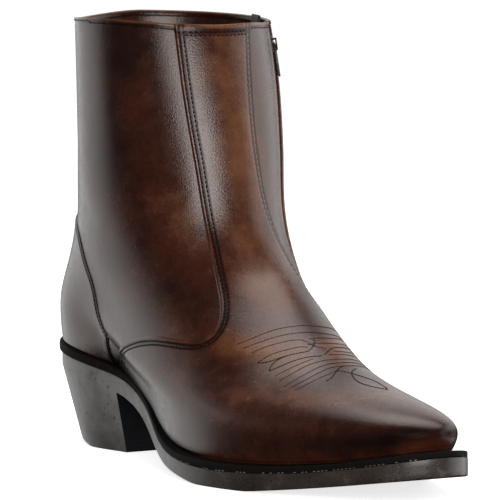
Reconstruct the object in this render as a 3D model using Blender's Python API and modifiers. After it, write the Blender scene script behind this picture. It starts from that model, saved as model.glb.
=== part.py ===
"""A right ankle boot with a side zip and an underslung heel, as an assembly of separate solids.

Sizes are in millimetres: x forward from the back of the heel, y towards the inner side of the foot,
z up from the floor. The objects are made in metres, with the boot's middle over the world's origin.
A place on the upper is given by its turn, in degrees from the front towards the outer side, and its
rise, from 0 at the feather line, where the upper meets the sole, to 1 at the collar.
"""

from typing import NamedTuple

import bmesh
import bpy
import numpy as np
from mathutils import Matrix, Vector

MM = 0.001
MIDDLE = Vector((145.614, -2.157, 0.0))

GAP = 0.3
WALL = 2.2
OVERLAY = 1.0
CUTTER_IN = 2.5
CUTTER_DEPTH = 7.0

EDGE_RISE = 0.012
UPPER_COLUMNS = 52
UPPER_ROWS = 23
ROW_CROWDING = 1.3


class Loop(NamedTuple):
    """One loop around the last: its rise, its back and front points and its half widths."""

    rise: float
    back_x: float
    back_z: float
    front_x: float
    front_z: float
    heel: float
    shank: float
    waist: float
    ball: float
    toe: float


LOOPS = (
    Loop(0.00, -2.0, 46.5, 286.0, 22.0, 29.5, 24.5, 31.0, 43.0, 21.0),
    Loop(0.07, -3.2, 53.0, 288.4, 31.6, 30.6, 28.5, 34.5, 45.5, 24.0),
    Loop(0.15, -3.3, 60.0, 265.5, 38.6, 30.6, 31.5, 36.2, 44.8, 25.0),
    Loop(0.24, -2.0, 69.0, 221.5, 45.4, 29.3, 34.0, 37.2, 42.0, 25.5),
    Loop(0.34, 2.4, 80.5, 190.0, 58.2, 27.5, 35.3, 37.8, 40.0, 24.5),
    Loop(0.44, 8.4, 92.0, 166.0, 72.0, 26.6, 36.0, 39.0, 38.2, 23.5),
    Loop(0.54, 14.0, 106.0, 148.0, 87.5, 26.5, 36.8, 40.4, 38.0, 22.5),
    Loop(0.64, 17.2, 121.0, 135.5, 107.5, 27.0, 38.0, 41.9, 38.4, 22.5),
    Loop(0.75, 18.8, 140.5, 129.5, 133.0, 27.0, 39.2, 43.8, 40.4, 23.0),
    Loop(0.87, 20.0, 167.0, 123.0, 162.5, 27.5, 39.3, 44.0, 41.5, 23.5),
    Loop(1.00, 20.0, 194.7, 113.0, 193.5, 27.5, 38.5, 42.5, 40.0, 23.5),
)
# Where along a loop, as a share of the way from back to front, the five half widths are measured.
STATIONS = (0.12, 0.29, 0.46, 0.68, 0.92)
# The ball is further forward on the inner side, by this share of the loop to each side.
BALL_SKEW = 0.04
SKEW_END = 0.6
# The loops follow the sole's hollow less and less up to this rise.
SAG_END = 0.75

# The last's middle line, seen from above: it swings outwards at the waist and inwards at the toe.
MIDDLE_LINE_X = (-10.0, 70.0, 130.0, 200.0, 300.0)
MIDDLE_LINE_Y = (0.0, -1.5, -3.0, -1.0, 6.0)
SHAFT_Y = 3.5
SHAFT_SHARE = 0.9


class SoleRow(NamedTuple):
    """One cross row of the sole: feather line, welt depth, underside, and reach of welt and outsole."""

    x: float
    feather_z: float
    welt: float
    under_z: float
    welt_reach: float
    sole_reach: float


SOLE = (
    SoleRow(-14.0, 47.2, 3.8, 36.8, 2.4, 1.0),
    SoleRow(30.0, 45.0, 3.8, 34.4, 2.4, 1.2),
    SoleRow(60.0, 41.0, 3.7, 30.2, 2.6, 1.8),
    SoleRow(76.0, 37.6, 3.5, 26.2, 3.0, 2.6),
    SoleRow(97.0, 30.4, 3.0, 19.4, 3.6, 3.5),
    SoleRow(112.0, 25.0, 2.8, 14.2, 4.1, 4.0),
    SoleRow(127.0, 19.6, 2.8, 9.6, 4.7, 4.6),
    SoleRow(145.0, 14.8, 2.9, 4.7, 5.3, 5.2),
    SoleRow(165.0, 12.2, 3.0, 1.7, 5.8, 5.7),
    SoleRow(190.0, 11.3, 3.2, -0.8, 6.5, 6.4),
    SoleRow(225.0, 12.6, 3.2, 1.6, 6.5, 6.4),
    SoleRow(260.0, 17.0, 3.1, 6.4, 7.2, 7.2),
    SoleRow(285.0, 21.8, 3.0, 10.4, 9.6, 9.8),
    SoleRow(315.0, 28.8, 3.0, 15.6, 12.4, 12.8),
)
SOLE_TURNS = 72
SEAT_INSET = 7.0
SEAT_JOINT_TURN = 126.0
SEAT_JOINT_GAP = 0.15
WELT_STEPS = 57
RAND_STEPS = 25
INSOLE_DEPTH = 2.5
INSOLE_CLEARANCE = 0.6

HEEL_BREAST_X = 71.5
HEEL_BASE_BACK_X = 9.5
HEEL_BASE_HALF_WIDTH = 23.5
HEEL_TURNS = 34
HEEL_LEVELS = 4
CAP_DEPTH = 5.0
CAP_SHARE = 0.84
# The heel's underside leaves the floor from here backwards.
ROCKER_X = 45.0
ROCKER_RISE = 6.5


class VampRow(NamedTuple):
    """One row of the vamp: its outer edge, its rise over the front and its inner edge."""

    outer_turn: float
    outer_rise: float
    front_rise: float
    inner_turn: float
    inner_rise: float


VAMP = (
    VampRow(116.5, EDGE_RISE, EDGE_RISE, -114.0, EDGE_RISE),
    VampRow(115.0, 0.070, 0.050, -113.0, 0.075),
    VampRow(104.0, 0.195, 0.110, -105.0, 0.165),
    VampRow(86.0, 0.297, 0.190, -84.0, 0.275),
    VampRow(66.0, 0.339, 0.270, -63.0, 0.340),
    VampRow(47.0, 0.353, 0.345, -50.0, 0.395),
    VampRow(33.5, 0.435, 0.430, -42.0, 0.450),
    VampRow(29.0, 0.520, 0.515, -34.5, 0.520),
    VampRow(27.0, 0.610, 0.605, -24.5, 0.605),
    VampRow(28.0, 0.700, 0.700, -16.0, 0.700),
    VampRow(30.5, 0.800, 0.800, -12.5, 0.800),
    VampRow(31.5, 0.900, 0.900, -14.5, 0.900),
    VampRow(31.0, 0.996, 0.996, -20.0, 0.996),
)
VAMP_COLUMNS = 33
VAMP_ROWS_OUT = 25


class CounterRow(NamedTuple):
    """One row of the counter: its rise at the sides and at the back, and its half turn."""

    side_rise: float
    back_rise: float
    half_turn: float


COUNTER = (
    CounterRow(EDGE_RISE, EDGE_RISE, 60.0),
    CounterRow(0.110, 0.110, 61.5),
    CounterRow(0.200, 0.200, 67.0),
    CounterRow(0.348, 0.360, 70.5),
    CounterRow(0.430, 0.460, 67.0),
    CounterRow(0.500, 0.525, 59.0),
    CounterRow(0.535, 0.560, 46.0),
)
COUNTER_COLUMNS = 21
COUNTER_ROWS_OUT = 12

ZIP_RISES = (0.0, 0.42, 0.60, 0.72, 0.85, 0.93, 1.0)
ZIP_TURNS = (-58.0, -52.0, -42.0, -42.0, -45.5, -49.0, -51.0)
ZIP_FOOT_RISE = 0.42
ZIP_HALF_WIDTH = 3.4
ZIP_DEPTH = 1.1
ZIP_SUNK = 1.0
ZIP_TOP_RISE = 1.0
ZIP_ROWS = 16
SLOT_FIRST_COLUMN = 44

SLIDER_RISE = 0.955
SLIDER_WIDTH = 4.6
SLIDER_HEIGHT = 8.0
SLIDER_DEPTH = 1.1
SLIDER_OUT = -0.25
BRIDGE_WIDTH = 1.8
BRIDGE_LENGTH = 5.4
BRIDGE_BAR = 0.55
BRIDGE_ROOM = 1.2
BRIDGE_SUNK = 0.05
PULL_WIDTH = 4.6
PULL_LENGTH = 15.0
PULL_DEPTH = 0.7
PULL_WINDOW_WIDTH = 2.6
PULL_WINDOW_LENGTH = 4.2


class Finish(NamedTuple):
    """A plain finish: colour, roughness and metallic value."""

    colour: tuple
    roughness: float
    metallic: float


LEATHER = Finish((0.10, 0.045, 0.028), 0.32, 0.0)
SOLE_EDGE = Finish((0.085, 0.070, 0.062), 0.45, 0.0)
BLACK_EDGE = Finish((0.012, 0.010, 0.010), 0.5, 0.0)
RUBBER = Finish((0.015, 0.015, 0.016), 0.7, 0.0)
LINING = Finish((0.050, 0.040, 0.036), 0.85, 0.0)
TAPE = Finish((0.010, 0.010, 0.011), 0.8, 0.0)
BRASS = Finish((0.06, 0.045, 0.03), 0.35, 1.0)


def spline(knots, values, at):
    """Natural cubic spline through the knots, read at the given places."""
    x = np.asarray(knots, float)
    y = np.asarray(values, float)
    count = len(x)
    step = np.diff(x)
    slope = np.diff(y) / step
    matrix = np.eye(count)
    right = np.zeros(count)
    for i in range(1, count - 1):
        matrix[i, i - 1:i + 2] = step[i - 1], 2.0 * (step[i - 1] + step[i]), step[i]
        right[i] = 6.0 * (slope[i] - slope[i - 1])
    bend = np.linalg.solve(matrix, right)
    at = np.asarray(at, float)
    k = np.clip(np.searchsorted(x, at) - 1, 0, count - 2)
    after = x[k + 1] - at
    before = at - x[k]
    cubic = (bend[k] * after ** 3 + bend[k + 1] * before ** 3) / (6.0 * step[k])
    left_part = (y[k] / step[k] - bend[k] * step[k] / 6.0) * after
    right_part = (y[k + 1] / step[k] - bend[k + 1] * step[k] / 6.0) * before
    return cubic + left_part + right_part


def column(rows, name):
    """One named column of a table."""
    return [getattr(row, name) for row in rows]


def loop_value(name, rise):
    """A column of the loop table at the given rises."""
    return spline(column(LOOPS, "rise"), column(LOOPS, name), rise)


def sole_value(name, x):
    """A column of the sole table at the given places."""
    return spline(column(SOLE, "x"), column(SOLE, name), x)


def roundness(share, rise):
    """How wide the loop bulges at a share of its length, worked out from its five half widths."""
    knots = (0.0, *STATIONS, 1.0)
    total = np.zeros_like(share)
    for i, name in enumerate(("heel", "shank", "waist", "ball", "toe")):
        weights = np.zeros(len(knots))
        weights[i + 1] = 1.0
        weights[0] = 1.0 if i == 0 else 0.0
        weights[-1] = 1.0 if i == len(STATIONS) - 1 else 0.0
        chord = 2.0 * np.sqrt(STATIONS[i] * (1.0 - STATIONS[i]))
        total += spline(knots, weights, share) * loop_value(name, rise) / chord
    return total


def last_surface(turn, rise):
    """Points of the upper's outer face, in millimetres, at the given turns and rises."""
    turn, rise = np.broadcast_arrays(np.radians(turn), np.asarray(rise, float))
    share = (1.0 + np.cos(turn)) / 2.0
    back_x = loop_value("back_x", rise)
    x = back_x + (loop_value("front_x", rise) - back_x) * share
    back_z = loop_value("back_z", rise)
    chord_z = back_z + (loop_value("front_z", rise) - back_z) * share
    foot = LOOPS[0]
    foot_x = foot.back_x + (foot.front_x - foot.back_x) * share
    foot_z = foot.back_z + (foot.front_z - foot.back_z) * share
    sag = np.clip(1.0 - rise / SAG_END, 0.0, 1.0) ** 2
    z = chord_z + (sole_value("feather_z", foot_x) - foot_z) * sag
    side = np.sign(np.sin(turn))
    skew = BALL_SKEW * np.clip(1.0 - rise / SKEW_END, 0.0, 1.0) * np.sin(np.pi * share) ** 2
    half_width = roundness(np.clip(share + side * skew, 0.0, 1.0), rise) * np.abs(np.sin(turn))
    shaft = np.clip(rise / SAG_END, 0.0, 1.0)
    middle = spline(MIDDLE_LINE_X, MIDDLE_LINE_Y, x) * (1.0 - SHAFT_SHARE * shaft) + SHAFT_Y * shaft
    return np.stack([x, middle - side * half_width, z], axis=-1)


def last_normal(turn, rise):
    """Outward unit normals of the upper's outer face."""
    small_turn = 0.2
    small_rise = 0.002
    low = np.clip(np.asarray(rise, float) - small_rise, 0.0, 1.0)
    high = np.clip(np.asarray(rise, float) + small_rise, 0.0, 1.0)
    along = last_surface(turn, high) - last_surface(turn, low)
    around = last_surface(turn + small_turn, rise) - last_surface(turn - small_turn, rise)
    normal = np.cross(along, around)
    return normal / np.linalg.norm(normal, axis=-1, keepdims=True)


def skin(turn, rise, offset):
    """Points at a distance outside the upper's outer face."""
    turn, rise = np.broadcast_arrays(np.asarray(turn, float), np.asarray(rise, float))
    return last_surface(turn, rise) + offset * last_normal(turn, rise)


def zip_turn(rise):
    """The turn of the zip's middle line at the given rises."""
    return spline(ZIP_RISES, ZIP_TURNS, rise)


def half_turn_for(width, rise):
    """The turn, in degrees, that spans a width along the zip's loop."""
    middle = zip_turn(rise)
    step = last_surface(middle + 1.0, rise) - last_surface(middle, rise)
    return width / np.linalg.norm(step, axis=-1)


def plan_outline(turn, reach):
    """The feather line seen from above, moved outwards by a reach that may vary along it."""
    step = 0.2
    points = last_surface(turn, 0.0)[:, :2]
    along = last_surface(turn + step, 0.0)[:, :2] - last_surface(turn - step, 0.0)[:, :2]
    outwards = np.stack([-along[:, 1], along[:, 0]], axis=-1)
    outwards /= np.linalg.norm(outwards, axis=-1, keepdims=True)
    return points + outwards * np.reshape(reach, (-1, 1))


def edge_outline(turn, name):
    """The outline of the welt or of the outsole seen from above."""
    return plan_outline(turn, sole_value(name, last_surface(turn, 0.0)[:, 0]))


def whole_turn():
    """Turns of a full outline, paired about the middle line."""
    return (np.arange(SOLE_TURNS) + 0.5) * 360.0 / SOLE_TURNS


def welt_top(x):
    """Height of the upper face of welt and rand."""
    return sole_value("feather_z", x) - GAP


def welt_bottom(x):
    """Height of the lower face of welt and rand."""
    return welt_top(x) - sole_value("welt", x)


def outsole_bottom(x):
    """Height of the outsole's underside, flat on the floor under the ball."""
    return np.maximum(sole_value("under_z", x), 0.0)


def new_object(name, collection, finish, points, faces):
    """A mesh object from points in millimetres, with its own Principled material."""
    mesh = bpy.data.meshes.new(name)
    corners = [(Vector(point) - MIDDLE) * MM for point in points]
    mesh.from_pydata(corners, [], faces)
    work = bmesh.new()
    work.from_mesh(mesh)
    bmesh.ops.recalc_face_normals(work, faces=work.faces)
    work.to_mesh(mesh)
    work.free()
    item = bpy.data.objects.new(name, mesh)
    collection.objects.link(item)
    mesh.materials.append(make_material(name, finish))
    return item


def make_material(name, finish):
    """A Principled material with the finish's colour, roughness and metallic value."""
    material = bpy.data.materials.new(name)
    material.use_nodes = True
    shader = material.node_tree.nodes["Principled BSDF"]
    shader.inputs["Base Color"].default_value = (*finish.colour, 1.0)
    shader.inputs["Roughness"].default_value = finish.roughness
    shader.inputs["Metallic"].default_value = finish.metallic
    return material


def grid_faces(rows, columns, closed):
    """Quads of a grid of rows and columns, wrapped around when closed."""
    faces = []
    last = columns if closed else columns - 1
    for row in range(rows - 1):
        for col in range(last):
            after = (col + 1) % columns
            low = row * columns
            high = low + columns
            faces.append((low + col, low + after, high + after, high + col))
    return faces


def sheet(name, collection, finish, turn, rise, inner, depth, faces):
    """A sheet of even depth on the upper, from grids of turns and rises and its inner offset."""
    points = skin(turn, rise, inner + depth)
    item = new_object(name, collection, finish, points.reshape(-1, 3), faces)
    face_out(item, last_normal(turn, rise).reshape(-1, 3))
    modifier = item.modifiers.new("wall", "SOLIDIFY")
    modifier.thickness = depth * MM
    modifier.offset = -1.0
    modifier.use_rim = True
    return item


def face_out(item, normals):
    """Turn the faces of an open sheet to the side that the normals show."""
    mesh = item.data
    first = mesh.polygons[0]
    wanted = Vector(normals[first.vertices[0]])
    if first.normal.dot(wanted) < 0.0:
        mesh.flip_normals()


def upper_turns(rise):
    """Turns of the upper's columns at one rise, with two columns on the edges of the zip's slot."""
    middle = 360.0 + float(zip_turn(rise))
    half = float(half_turn_for(ZIP_HALF_WIDTH, rise))
    marks = (0, SLOT_FIRST_COLUMN, SLOT_FIRST_COLUMN + 1, UPPER_COLUMNS)
    angles = (0.0, middle - half, middle + half, 360.0)
    return np.interp(np.arange(UPPER_COLUMNS), marks, angles)


def upper_grid():
    """Turns and rises of the upper's loft, and the row that the zip's slot starts on."""
    rises = np.linspace(0.0, 1.0, UPPER_ROWS) ** ROW_CROWDING
    slot_row = int(np.argmin(np.abs(rises - ZIP_FOOT_RISE)))
    rises[slot_row] = ZIP_FOOT_RISE
    turns = np.stack([upper_turns(rise) for rise in rises])
    return turns, np.broadcast_to(rises[:, None], turns.shape), slot_row


def build_upper(collection):
    """The hollow upper: a loft through the loops with a slot for the zip."""
    turns, rises, slot_row = upper_grid()
    faces = []
    for i, face in enumerate(grid_faces(*turns.shape, closed=True)):
        row, col = divmod(i, UPPER_COLUMNS)
        if row < slot_row or col != SLOT_FIRST_COLUMN:
            faces.append(face)
    return sheet("upper", collection, LEATHER, turns, rises, -WALL, WALL, faces)


def overlay(name, collection, cutters, turn, rise):
    """A leather lapped over the upper: a larger shell of its own loft, cut to an outline."""
    turns, rises, _ = upper_grid()
    faces = grid_faces(*turns.shape, closed=True)
    item = sheet(name, collection, LEATHER, turns, rises, GAP, OVERLAY, faces)
    faces = grid_faces(*turn.shape, closed=False)
    cutter = sheet(name + "_cutter", cutters, LEATHER, turn, rise, -CUTTER_IN, CUTTER_DEPTH, faces)
    cutter.hide_render = True
    cutter.display_type = "WIRE"
    modifier = item.modifiers.new("outline", "BOOLEAN")
    modifier.operation = "INTERSECT"
    modifier.solver = "EXACT"
    modifier.object = cutter
    return item


def build_vamp(collection, cutters):
    """The front leather from toe to collar, lapped over the quarters."""
    rows = np.linspace(0.0, len(VAMP) - 1.0, VAMP_ROWS_OUT)
    across = np.linspace(0.0, 1.0, VAMP_COLUMNS)
    edge = {}
    for name in VampRow._fields:
        edge[name] = spline(range(len(VAMP)), column(VAMP, name), rows)[:, None]
    turn = edge["outer_turn"] + (edge["inner_turn"] - edge["outer_turn"]) * across
    straight = edge["outer_rise"] + (edge["inner_rise"] - edge["outer_rise"]) * across
    bow = edge["front_rise"] - (edge["outer_rise"] + edge["inner_rise"]) / 2.0
    rise = np.clip(straight + bow * np.sin(np.pi * across), 0.0, 1.0)
    return overlay("vamp", collection, cutters, turn, rise)


def build_counter(collection, cutters):
    """The heel leather lapped over the back of the quarters."""
    rows = np.linspace(0.0, len(COUNTER) - 1.0, COUNTER_ROWS_OUT)
    across = np.linspace(-1.0, 1.0, COUNTER_COLUMNS)
    side, back, half = (spline(range(len(COUNTER)), column(COUNTER, name), rows)[:, None]
                        for name in CounterRow._fields)
    turn = 180.0 + half * across
    rise = side + (back - side) * np.cos(np.pi / 2.0 * across)
    return overlay("counter", collection, cutters, turn, rise)


def build_zip(collection):
    """Tape and chain, sunk in the slot."""
    rises = np.linspace(ZIP_FOOT_RISE + EDGE_RISE, ZIP_TOP_RISE, ZIP_ROWS)
    across = np.linspace(-1.0, 1.0, 3)
    half = half_turn_for(ZIP_HALF_WIDTH - 2.0 * GAP, rises)
    turn = zip_turn(rises)[:, None] + half[:, None] * across
    rise = np.broadcast_to(rises[:, None], turn.shape)
    faces = grid_faces(*turn.shape, closed=False)
    return sheet("zip", collection, TAPE, turn, rise, -ZIP_SUNK - ZIP_DEPTH, ZIP_DEPTH, faces)


def stack(name, collection, finish, rings):
    """A closed solid through rings of the same even count, capped by strips across."""
    count = len(rings[0])
    faces = grid_faces(len(rings), count, closed=True)
    for base in (0, count * (len(rings) - 1)):
        for i in range(count // 2 - 1):
            low = base + i
            far = base + count - 1 - i
            faces.append((low, low + 1, far - 1, far))
    return new_object(name, collection, finish, np.vstack(rings), faces)


def strip(name, collection, finish, turn):
    """A band under the upper's edge, from the sole's edge inwards, with two ends."""
    outer = edge_outline(turn, "welt_reach")
    inner = plan_outline(turn, -SEAT_INSET)
    rings = [
        np.column_stack([outer, welt_bottom(outer[:, 0])]),
        np.column_stack([outer, welt_top(outer[:, 0])]),
        np.column_stack([inner, welt_top(inner[:, 0])]),
        np.column_stack([inner, welt_bottom(inner[:, 0])]),
    ]
    points = np.stack(rings, axis=1)
    faces = grid_faces(len(turn), len(rings), closed=True)
    last = len(rings) * (len(turn) - 1)
    faces.append(tuple(range(len(rings))))
    faces.append(tuple(last + i for i in range(len(rings))))
    return new_object(name, collection, finish, points.reshape(-1, 3), faces)


def build_welt(collection):
    """The strip from joint to joint around the forepart."""
    limit = SEAT_JOINT_TURN - SEAT_JOINT_GAP
    return strip("welt", collection, BLACK_EDGE, np.linspace(-limit, limit, WELT_STEPS))


def build_heel_rand(collection):
    """The strip around the heel seat."""
    limit = SEAT_JOINT_TURN + SEAT_JOINT_GAP
    return strip("heel_rand", collection, BLACK_EDGE, np.linspace(limit, 360.0 - limit, RAND_STEPS))


def build_outsole(collection):
    """The full outsole with shank arch, flat tread spot and toe spring."""
    outline = edge_outline(whole_turn(), "sole_reach")
    top = np.column_stack([outline, welt_bottom(outline[:, 0]) - GAP])
    bottom = np.column_stack([outline, outsole_bottom(outline[:, 0])])
    return stack("outsole", collection, SOLE_EDGE, [top, bottom])


def build_insole(collection):
    """The insole inside the upper, with the filler under it between welt and outsole."""
    outline = plan_outline(whole_turn(), -WALL - INSOLE_CLEARANCE)
    filler = plan_outline(whole_turn(), -SEAT_INSET - GAP)
    seat = welt_top(outline[:, 0]) + GAP
    rings = [
        np.column_stack([outline, seat + INSOLE_DEPTH]),
        np.column_stack([outline, seat]),
        np.column_stack([filler, welt_top(filler[:, 0]) + GAP]),
        np.column_stack([filler, welt_bottom(filler[:, 0])]),
    ]
    return stack("insole", collection, LINING, rings)


def heel_outline():
    """The outsole's outline behind the heel's breast."""
    back_half = np.linspace(60.0, 180.0, 481)
    places = edge_outline(back_half, "sole_reach")[:, 0]
    first = float(np.interp(-HEEL_BREAST_X, -places, back_half))
    outline = edge_outline(np.linspace(first, 360.0 - first, HEEL_TURNS), "sole_reach")
    outline[0, 0] = HEEL_BREAST_X
    outline[-1, 0] = HEEL_BREAST_X
    return outline


def heel_ring(share):
    """The heel's outline at a share of the way down from the outsole to the floor."""
    outline = heel_outline()
    depth = (HEEL_BREAST_X - HEEL_BASE_BACK_X) / (HEEL_BREAST_X - outline[:, 0].min())
    width = HEEL_BASE_HALF_WIDTH / ((outline[-1, 1] - outline[0, 1]) / 2.0)
    centre = np.array([HEEL_BREAST_X, (outline[-1, 1] + outline[0, 1]) / 2.0])
    drawn_in = 1.0 + (np.array([depth, width]) - 1.0) * share
    return centre + (outline - centre) * drawn_in


def heel_floor(x):
    """Height of the heel's underside, flat at the breast and off the floor at the back."""
    return np.maximum((ROCKER_X - x) * ROCKER_RISE / (ROCKER_X - HEEL_BASE_BACK_X), 0.0)


def build_heel_block(collection):
    """The stacked heel under the outsole, with a flat breast."""
    seat = outsole_bottom(heel_outline()[:, 0]) - GAP
    foot = heel_floor(heel_ring(CAP_SHARE)[:, 0]) + CAP_DEPTH + GAP
    rings = []
    for step in np.linspace(0.0, 1.0, HEEL_LEVELS):
        rings.append(np.column_stack([heel_ring(step * CAP_SHARE), seat * (1.0 - step) + foot * step]))
    return stack("heel_block", collection, SOLE_EDGE, rings)


def build_heel_cap(collection):
    """The rubber top lift."""
    high = heel_ring(CAP_SHARE)
    low = heel_ring(1.0)
    top = np.column_stack([high, heel_floor(high[:, 0]) + CAP_DEPTH])
    bottom = np.column_stack([low, heel_floor(low[:, 0])])
    return stack("heel_cap", collection, RUBBER, [top, bottom])


def slider_frame():
    """The slider's place on the upper's face: its axes run across, out of the face and up the chain."""
    small = 0.004
    rises = np.array([SLIDER_RISE - small, SLIDER_RISE, SLIDER_RISE + small])
    points = last_surface(zip_turn(rises), rises)
    out = Vector(last_normal(zip_turn(rises), rises)[1])
    along = Vector(points[2] - points[0]).normalized()
    across = out.cross(along).normalized()
    frame = Matrix((across, out, across.cross(out))).transposed().to_4x4()
    frame.translation = (Vector(points[1]) - MIDDLE) * MM
    return frame


def box(work, size, centre):
    """A box in the slider's own frame: across, out and up, in millimetres."""
    made = bmesh.ops.create_cube(work, size=MM)
    bmesh.ops.scale(work, vec=size, verts=made["verts"])
    bmesh.ops.translate(work, vec=Vector(centre) * MM, verts=made["verts"])


def boxes_object(name, collection, finish, frame, boxes):
    """One object joined from boxes in the slider's frame."""
    item = None
    for size, centre in boxes:
        work = bmesh.new()
        box(work, size, centre)
        mesh = bpy.data.meshes.new(name)
        work.to_mesh(mesh)
        work.free()
        piece = bpy.data.objects.new(name, mesh)
        collection.objects.link(piece)
        if item is None:
            item = piece
            continue
        join(item, piece)
    item.matrix_world = frame
    item.data.materials.clear()
    item.data.materials.append(make_material(name, finish))
    return item


def join(item, piece):
    """Unite a piece with an object and remove it."""
    modifier = item.modifiers.new("join", "BOOLEAN")
    modifier.operation = "UNION"
    modifier.solver = "EXACT"
    modifier.object = piece
    graph = bpy.context.evaluated_depsgraph_get()
    mesh = bpy.data.meshes.new_from_object(item.evaluated_get(graph))
    item.modifiers.clear()
    item.data = mesh
    bpy.data.objects.remove(piece)


def hinge_out():
    """How far the pull's hinge lies outside the upper's face."""
    return SLIDER_OUT + SLIDER_DEPTH / 2.0 + BRIDGE_ROOM / 2.0


def build_slider(collection):
    """The slider's plate with the bridge that holds the pull."""
    face = SLIDER_OUT + SLIDER_DEPTH / 2.0
    post = (BRIDGE_LENGTH - BRIDGE_BAR) / 2.0
    bar_out = face + BRIDGE_ROOM + BRIDGE_BAR / 2.0
    post_size = (BRIDGE_WIDTH, BRIDGE_ROOM + BRIDGE_BAR, BRIDGE_BAR)
    post_out = face + (BRIDGE_ROOM + BRIDGE_BAR) / 2.0 - BRIDGE_SUNK
    boxes = (
        ((SLIDER_WIDTH, SLIDER_DEPTH, SLIDER_HEIGHT), (0.0, SLIDER_OUT, 0.0)),
        (post_size, (0.0, post_out, post)),
        (post_size, (0.0, post_out, -post)),
        ((BRIDGE_WIDTH, BRIDGE_BAR, BRIDGE_LENGTH), (0.0, bar_out, 0.0)),
    )
    return boxes_object("zip_slider", collection, BRASS, slider_frame(), boxes)


def build_pull(collection):
    """The hanging tab, a frame around the bridge and a plate below it."""
    arm = (PULL_WIDTH - PULL_WINDOW_WIDTH) / 2.0
    arm_x = (PULL_WIDTH - arm) / 2.0
    plate_length = PULL_LENGTH - PULL_WINDOW_LENGTH
    arm_length = PULL_WINDOW_LENGTH + PULL_DEPTH
    arm_z = PULL_DEPTH / 2.0 - arm_length / 2.0
    plate_z = PULL_DEPTH / 2.0 - PULL_WINDOW_LENGTH - plate_length / 2.0
    boxes = (
        ((PULL_WIDTH, PULL_DEPTH, PULL_DEPTH), (0.0, 0.0, 0.0)),
        ((arm, PULL_DEPTH, arm_length), (arm_x, 0.0, arm_z)),
        ((arm, PULL_DEPTH, arm_length), (-arm_x, 0.0, arm_z)),
        ((PULL_WIDTH, PULL_DEPTH, plate_length), (0.0, 0.0, plate_z)),
    )
    frame = slider_frame() @ Matrix.Translation((0.0, hinge_out() * MM, 0.0))
    return boxes_object("zip_pull", collection, BRASS, frame, boxes)


def main():
    """Clear the scene and build every piece in its collection."""
    for item in list(bpy.data.objects):
        bpy.data.objects.remove(item)
    collection = bpy.data.collections.new("ankle_boot")
    cutters = bpy.data.collections.new("cutters")
    bpy.context.scene.collection.children.link(collection)
    bpy.context.scene.collection.children.link(cutters)
    build_upper(collection)
    build_vamp(collection, cutters)
    build_counter(collection, cutters)
    build_welt(collection)
    build_heel_rand(collection)
    build_outsole(collection)
    build_insole(collection)
    build_heel_block(collection)
    build_heel_cap(collection)
    build_zip(collection)
    build_slider(collection)
    build_pull(collection)


main()
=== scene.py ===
"""Looks of a right ankle boot with a side zip and an underslung heel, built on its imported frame.

Sizes are in millimetres: x forward from the back of the heel, y towards the inner side of the foot,
z up from the floor. Meshes are made in metres, with the boot's middle over the world's origin.
A place on the upper is given by its turn, in degrees from the front towards the outer side, and its
rise, from 0 at the feather line, where the upper meets the sole, to 1 at the collar.
"""

import logging
import math
from dataclasses import dataclass
from enum import Enum
from typing import NamedTuple, Sequence

import bpy
import numpy as np
from mathutils import Matrix, Vector
from mathutils.bvhtree import BVHTree
from mathutils.kdtree import KDTree


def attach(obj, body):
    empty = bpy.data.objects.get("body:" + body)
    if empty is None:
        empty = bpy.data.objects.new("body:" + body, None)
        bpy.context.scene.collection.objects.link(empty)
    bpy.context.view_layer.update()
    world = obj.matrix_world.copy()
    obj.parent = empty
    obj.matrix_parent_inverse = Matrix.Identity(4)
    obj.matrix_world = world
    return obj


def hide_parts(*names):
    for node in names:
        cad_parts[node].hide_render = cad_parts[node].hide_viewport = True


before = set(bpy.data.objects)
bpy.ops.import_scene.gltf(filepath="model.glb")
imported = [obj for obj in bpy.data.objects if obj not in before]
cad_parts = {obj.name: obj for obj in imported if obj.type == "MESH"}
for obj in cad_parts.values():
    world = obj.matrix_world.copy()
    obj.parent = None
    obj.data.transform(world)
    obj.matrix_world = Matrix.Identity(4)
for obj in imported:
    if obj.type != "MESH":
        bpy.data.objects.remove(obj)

LOG = logging.getLogger("ankle_boot")

Array = np.ndarray
Item = bpy.types.Object
Material = bpy.types.Material
Socket = bpy.types.NodeSocket
Triple = tuple[float, float, float]
Colour = Triple
Curve = Sequence[tuple[float, float]]

MM = 0.001
MIDDLE = np.array([145.614, -2.157, 0.0])
GAP = 0.3
WALL = 2.2
EDGE_RISE = 0.012
PANEL_TOP = 0.999
# Millimetres of height for one unit of rise under the collar.
RISE_LENGTH = 212.0
# Steps in rise and in degrees of turn over which directions on the last are measured.
RISE_STEP = 0.002
TURN_STEP = 0.2
WHITE = (1.0, 1.0, 1.0, 1.0)


class Body(Enum):
    """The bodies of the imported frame."""

    BOOT = "boot"
    PULL = "pull"


class Slot(Enum):
    """The record's material slots."""

    LEATHER = "upper_leather"
    BLACK_EDGE = "black_edge"
    SOLE = "sole_leather"
    LINING = "lining"
    RUBBER = "heel_rubber"
    TAPE = "zip_tape"
    METAL = "zip_metal"


class Side(Enum):
    """The two sides of the boot, by the sign of the turn."""

    OUTER = 1
    INNER = -1


class Loop(NamedTuple):
    """One loop around the last: its rise, its back and front points and its half widths."""

    rise: float
    back_x: float
    back_z: float
    front_x: float
    front_z: float
    heel: float
    shank: float
    waist: float
    ball: float
    toe: float


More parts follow.
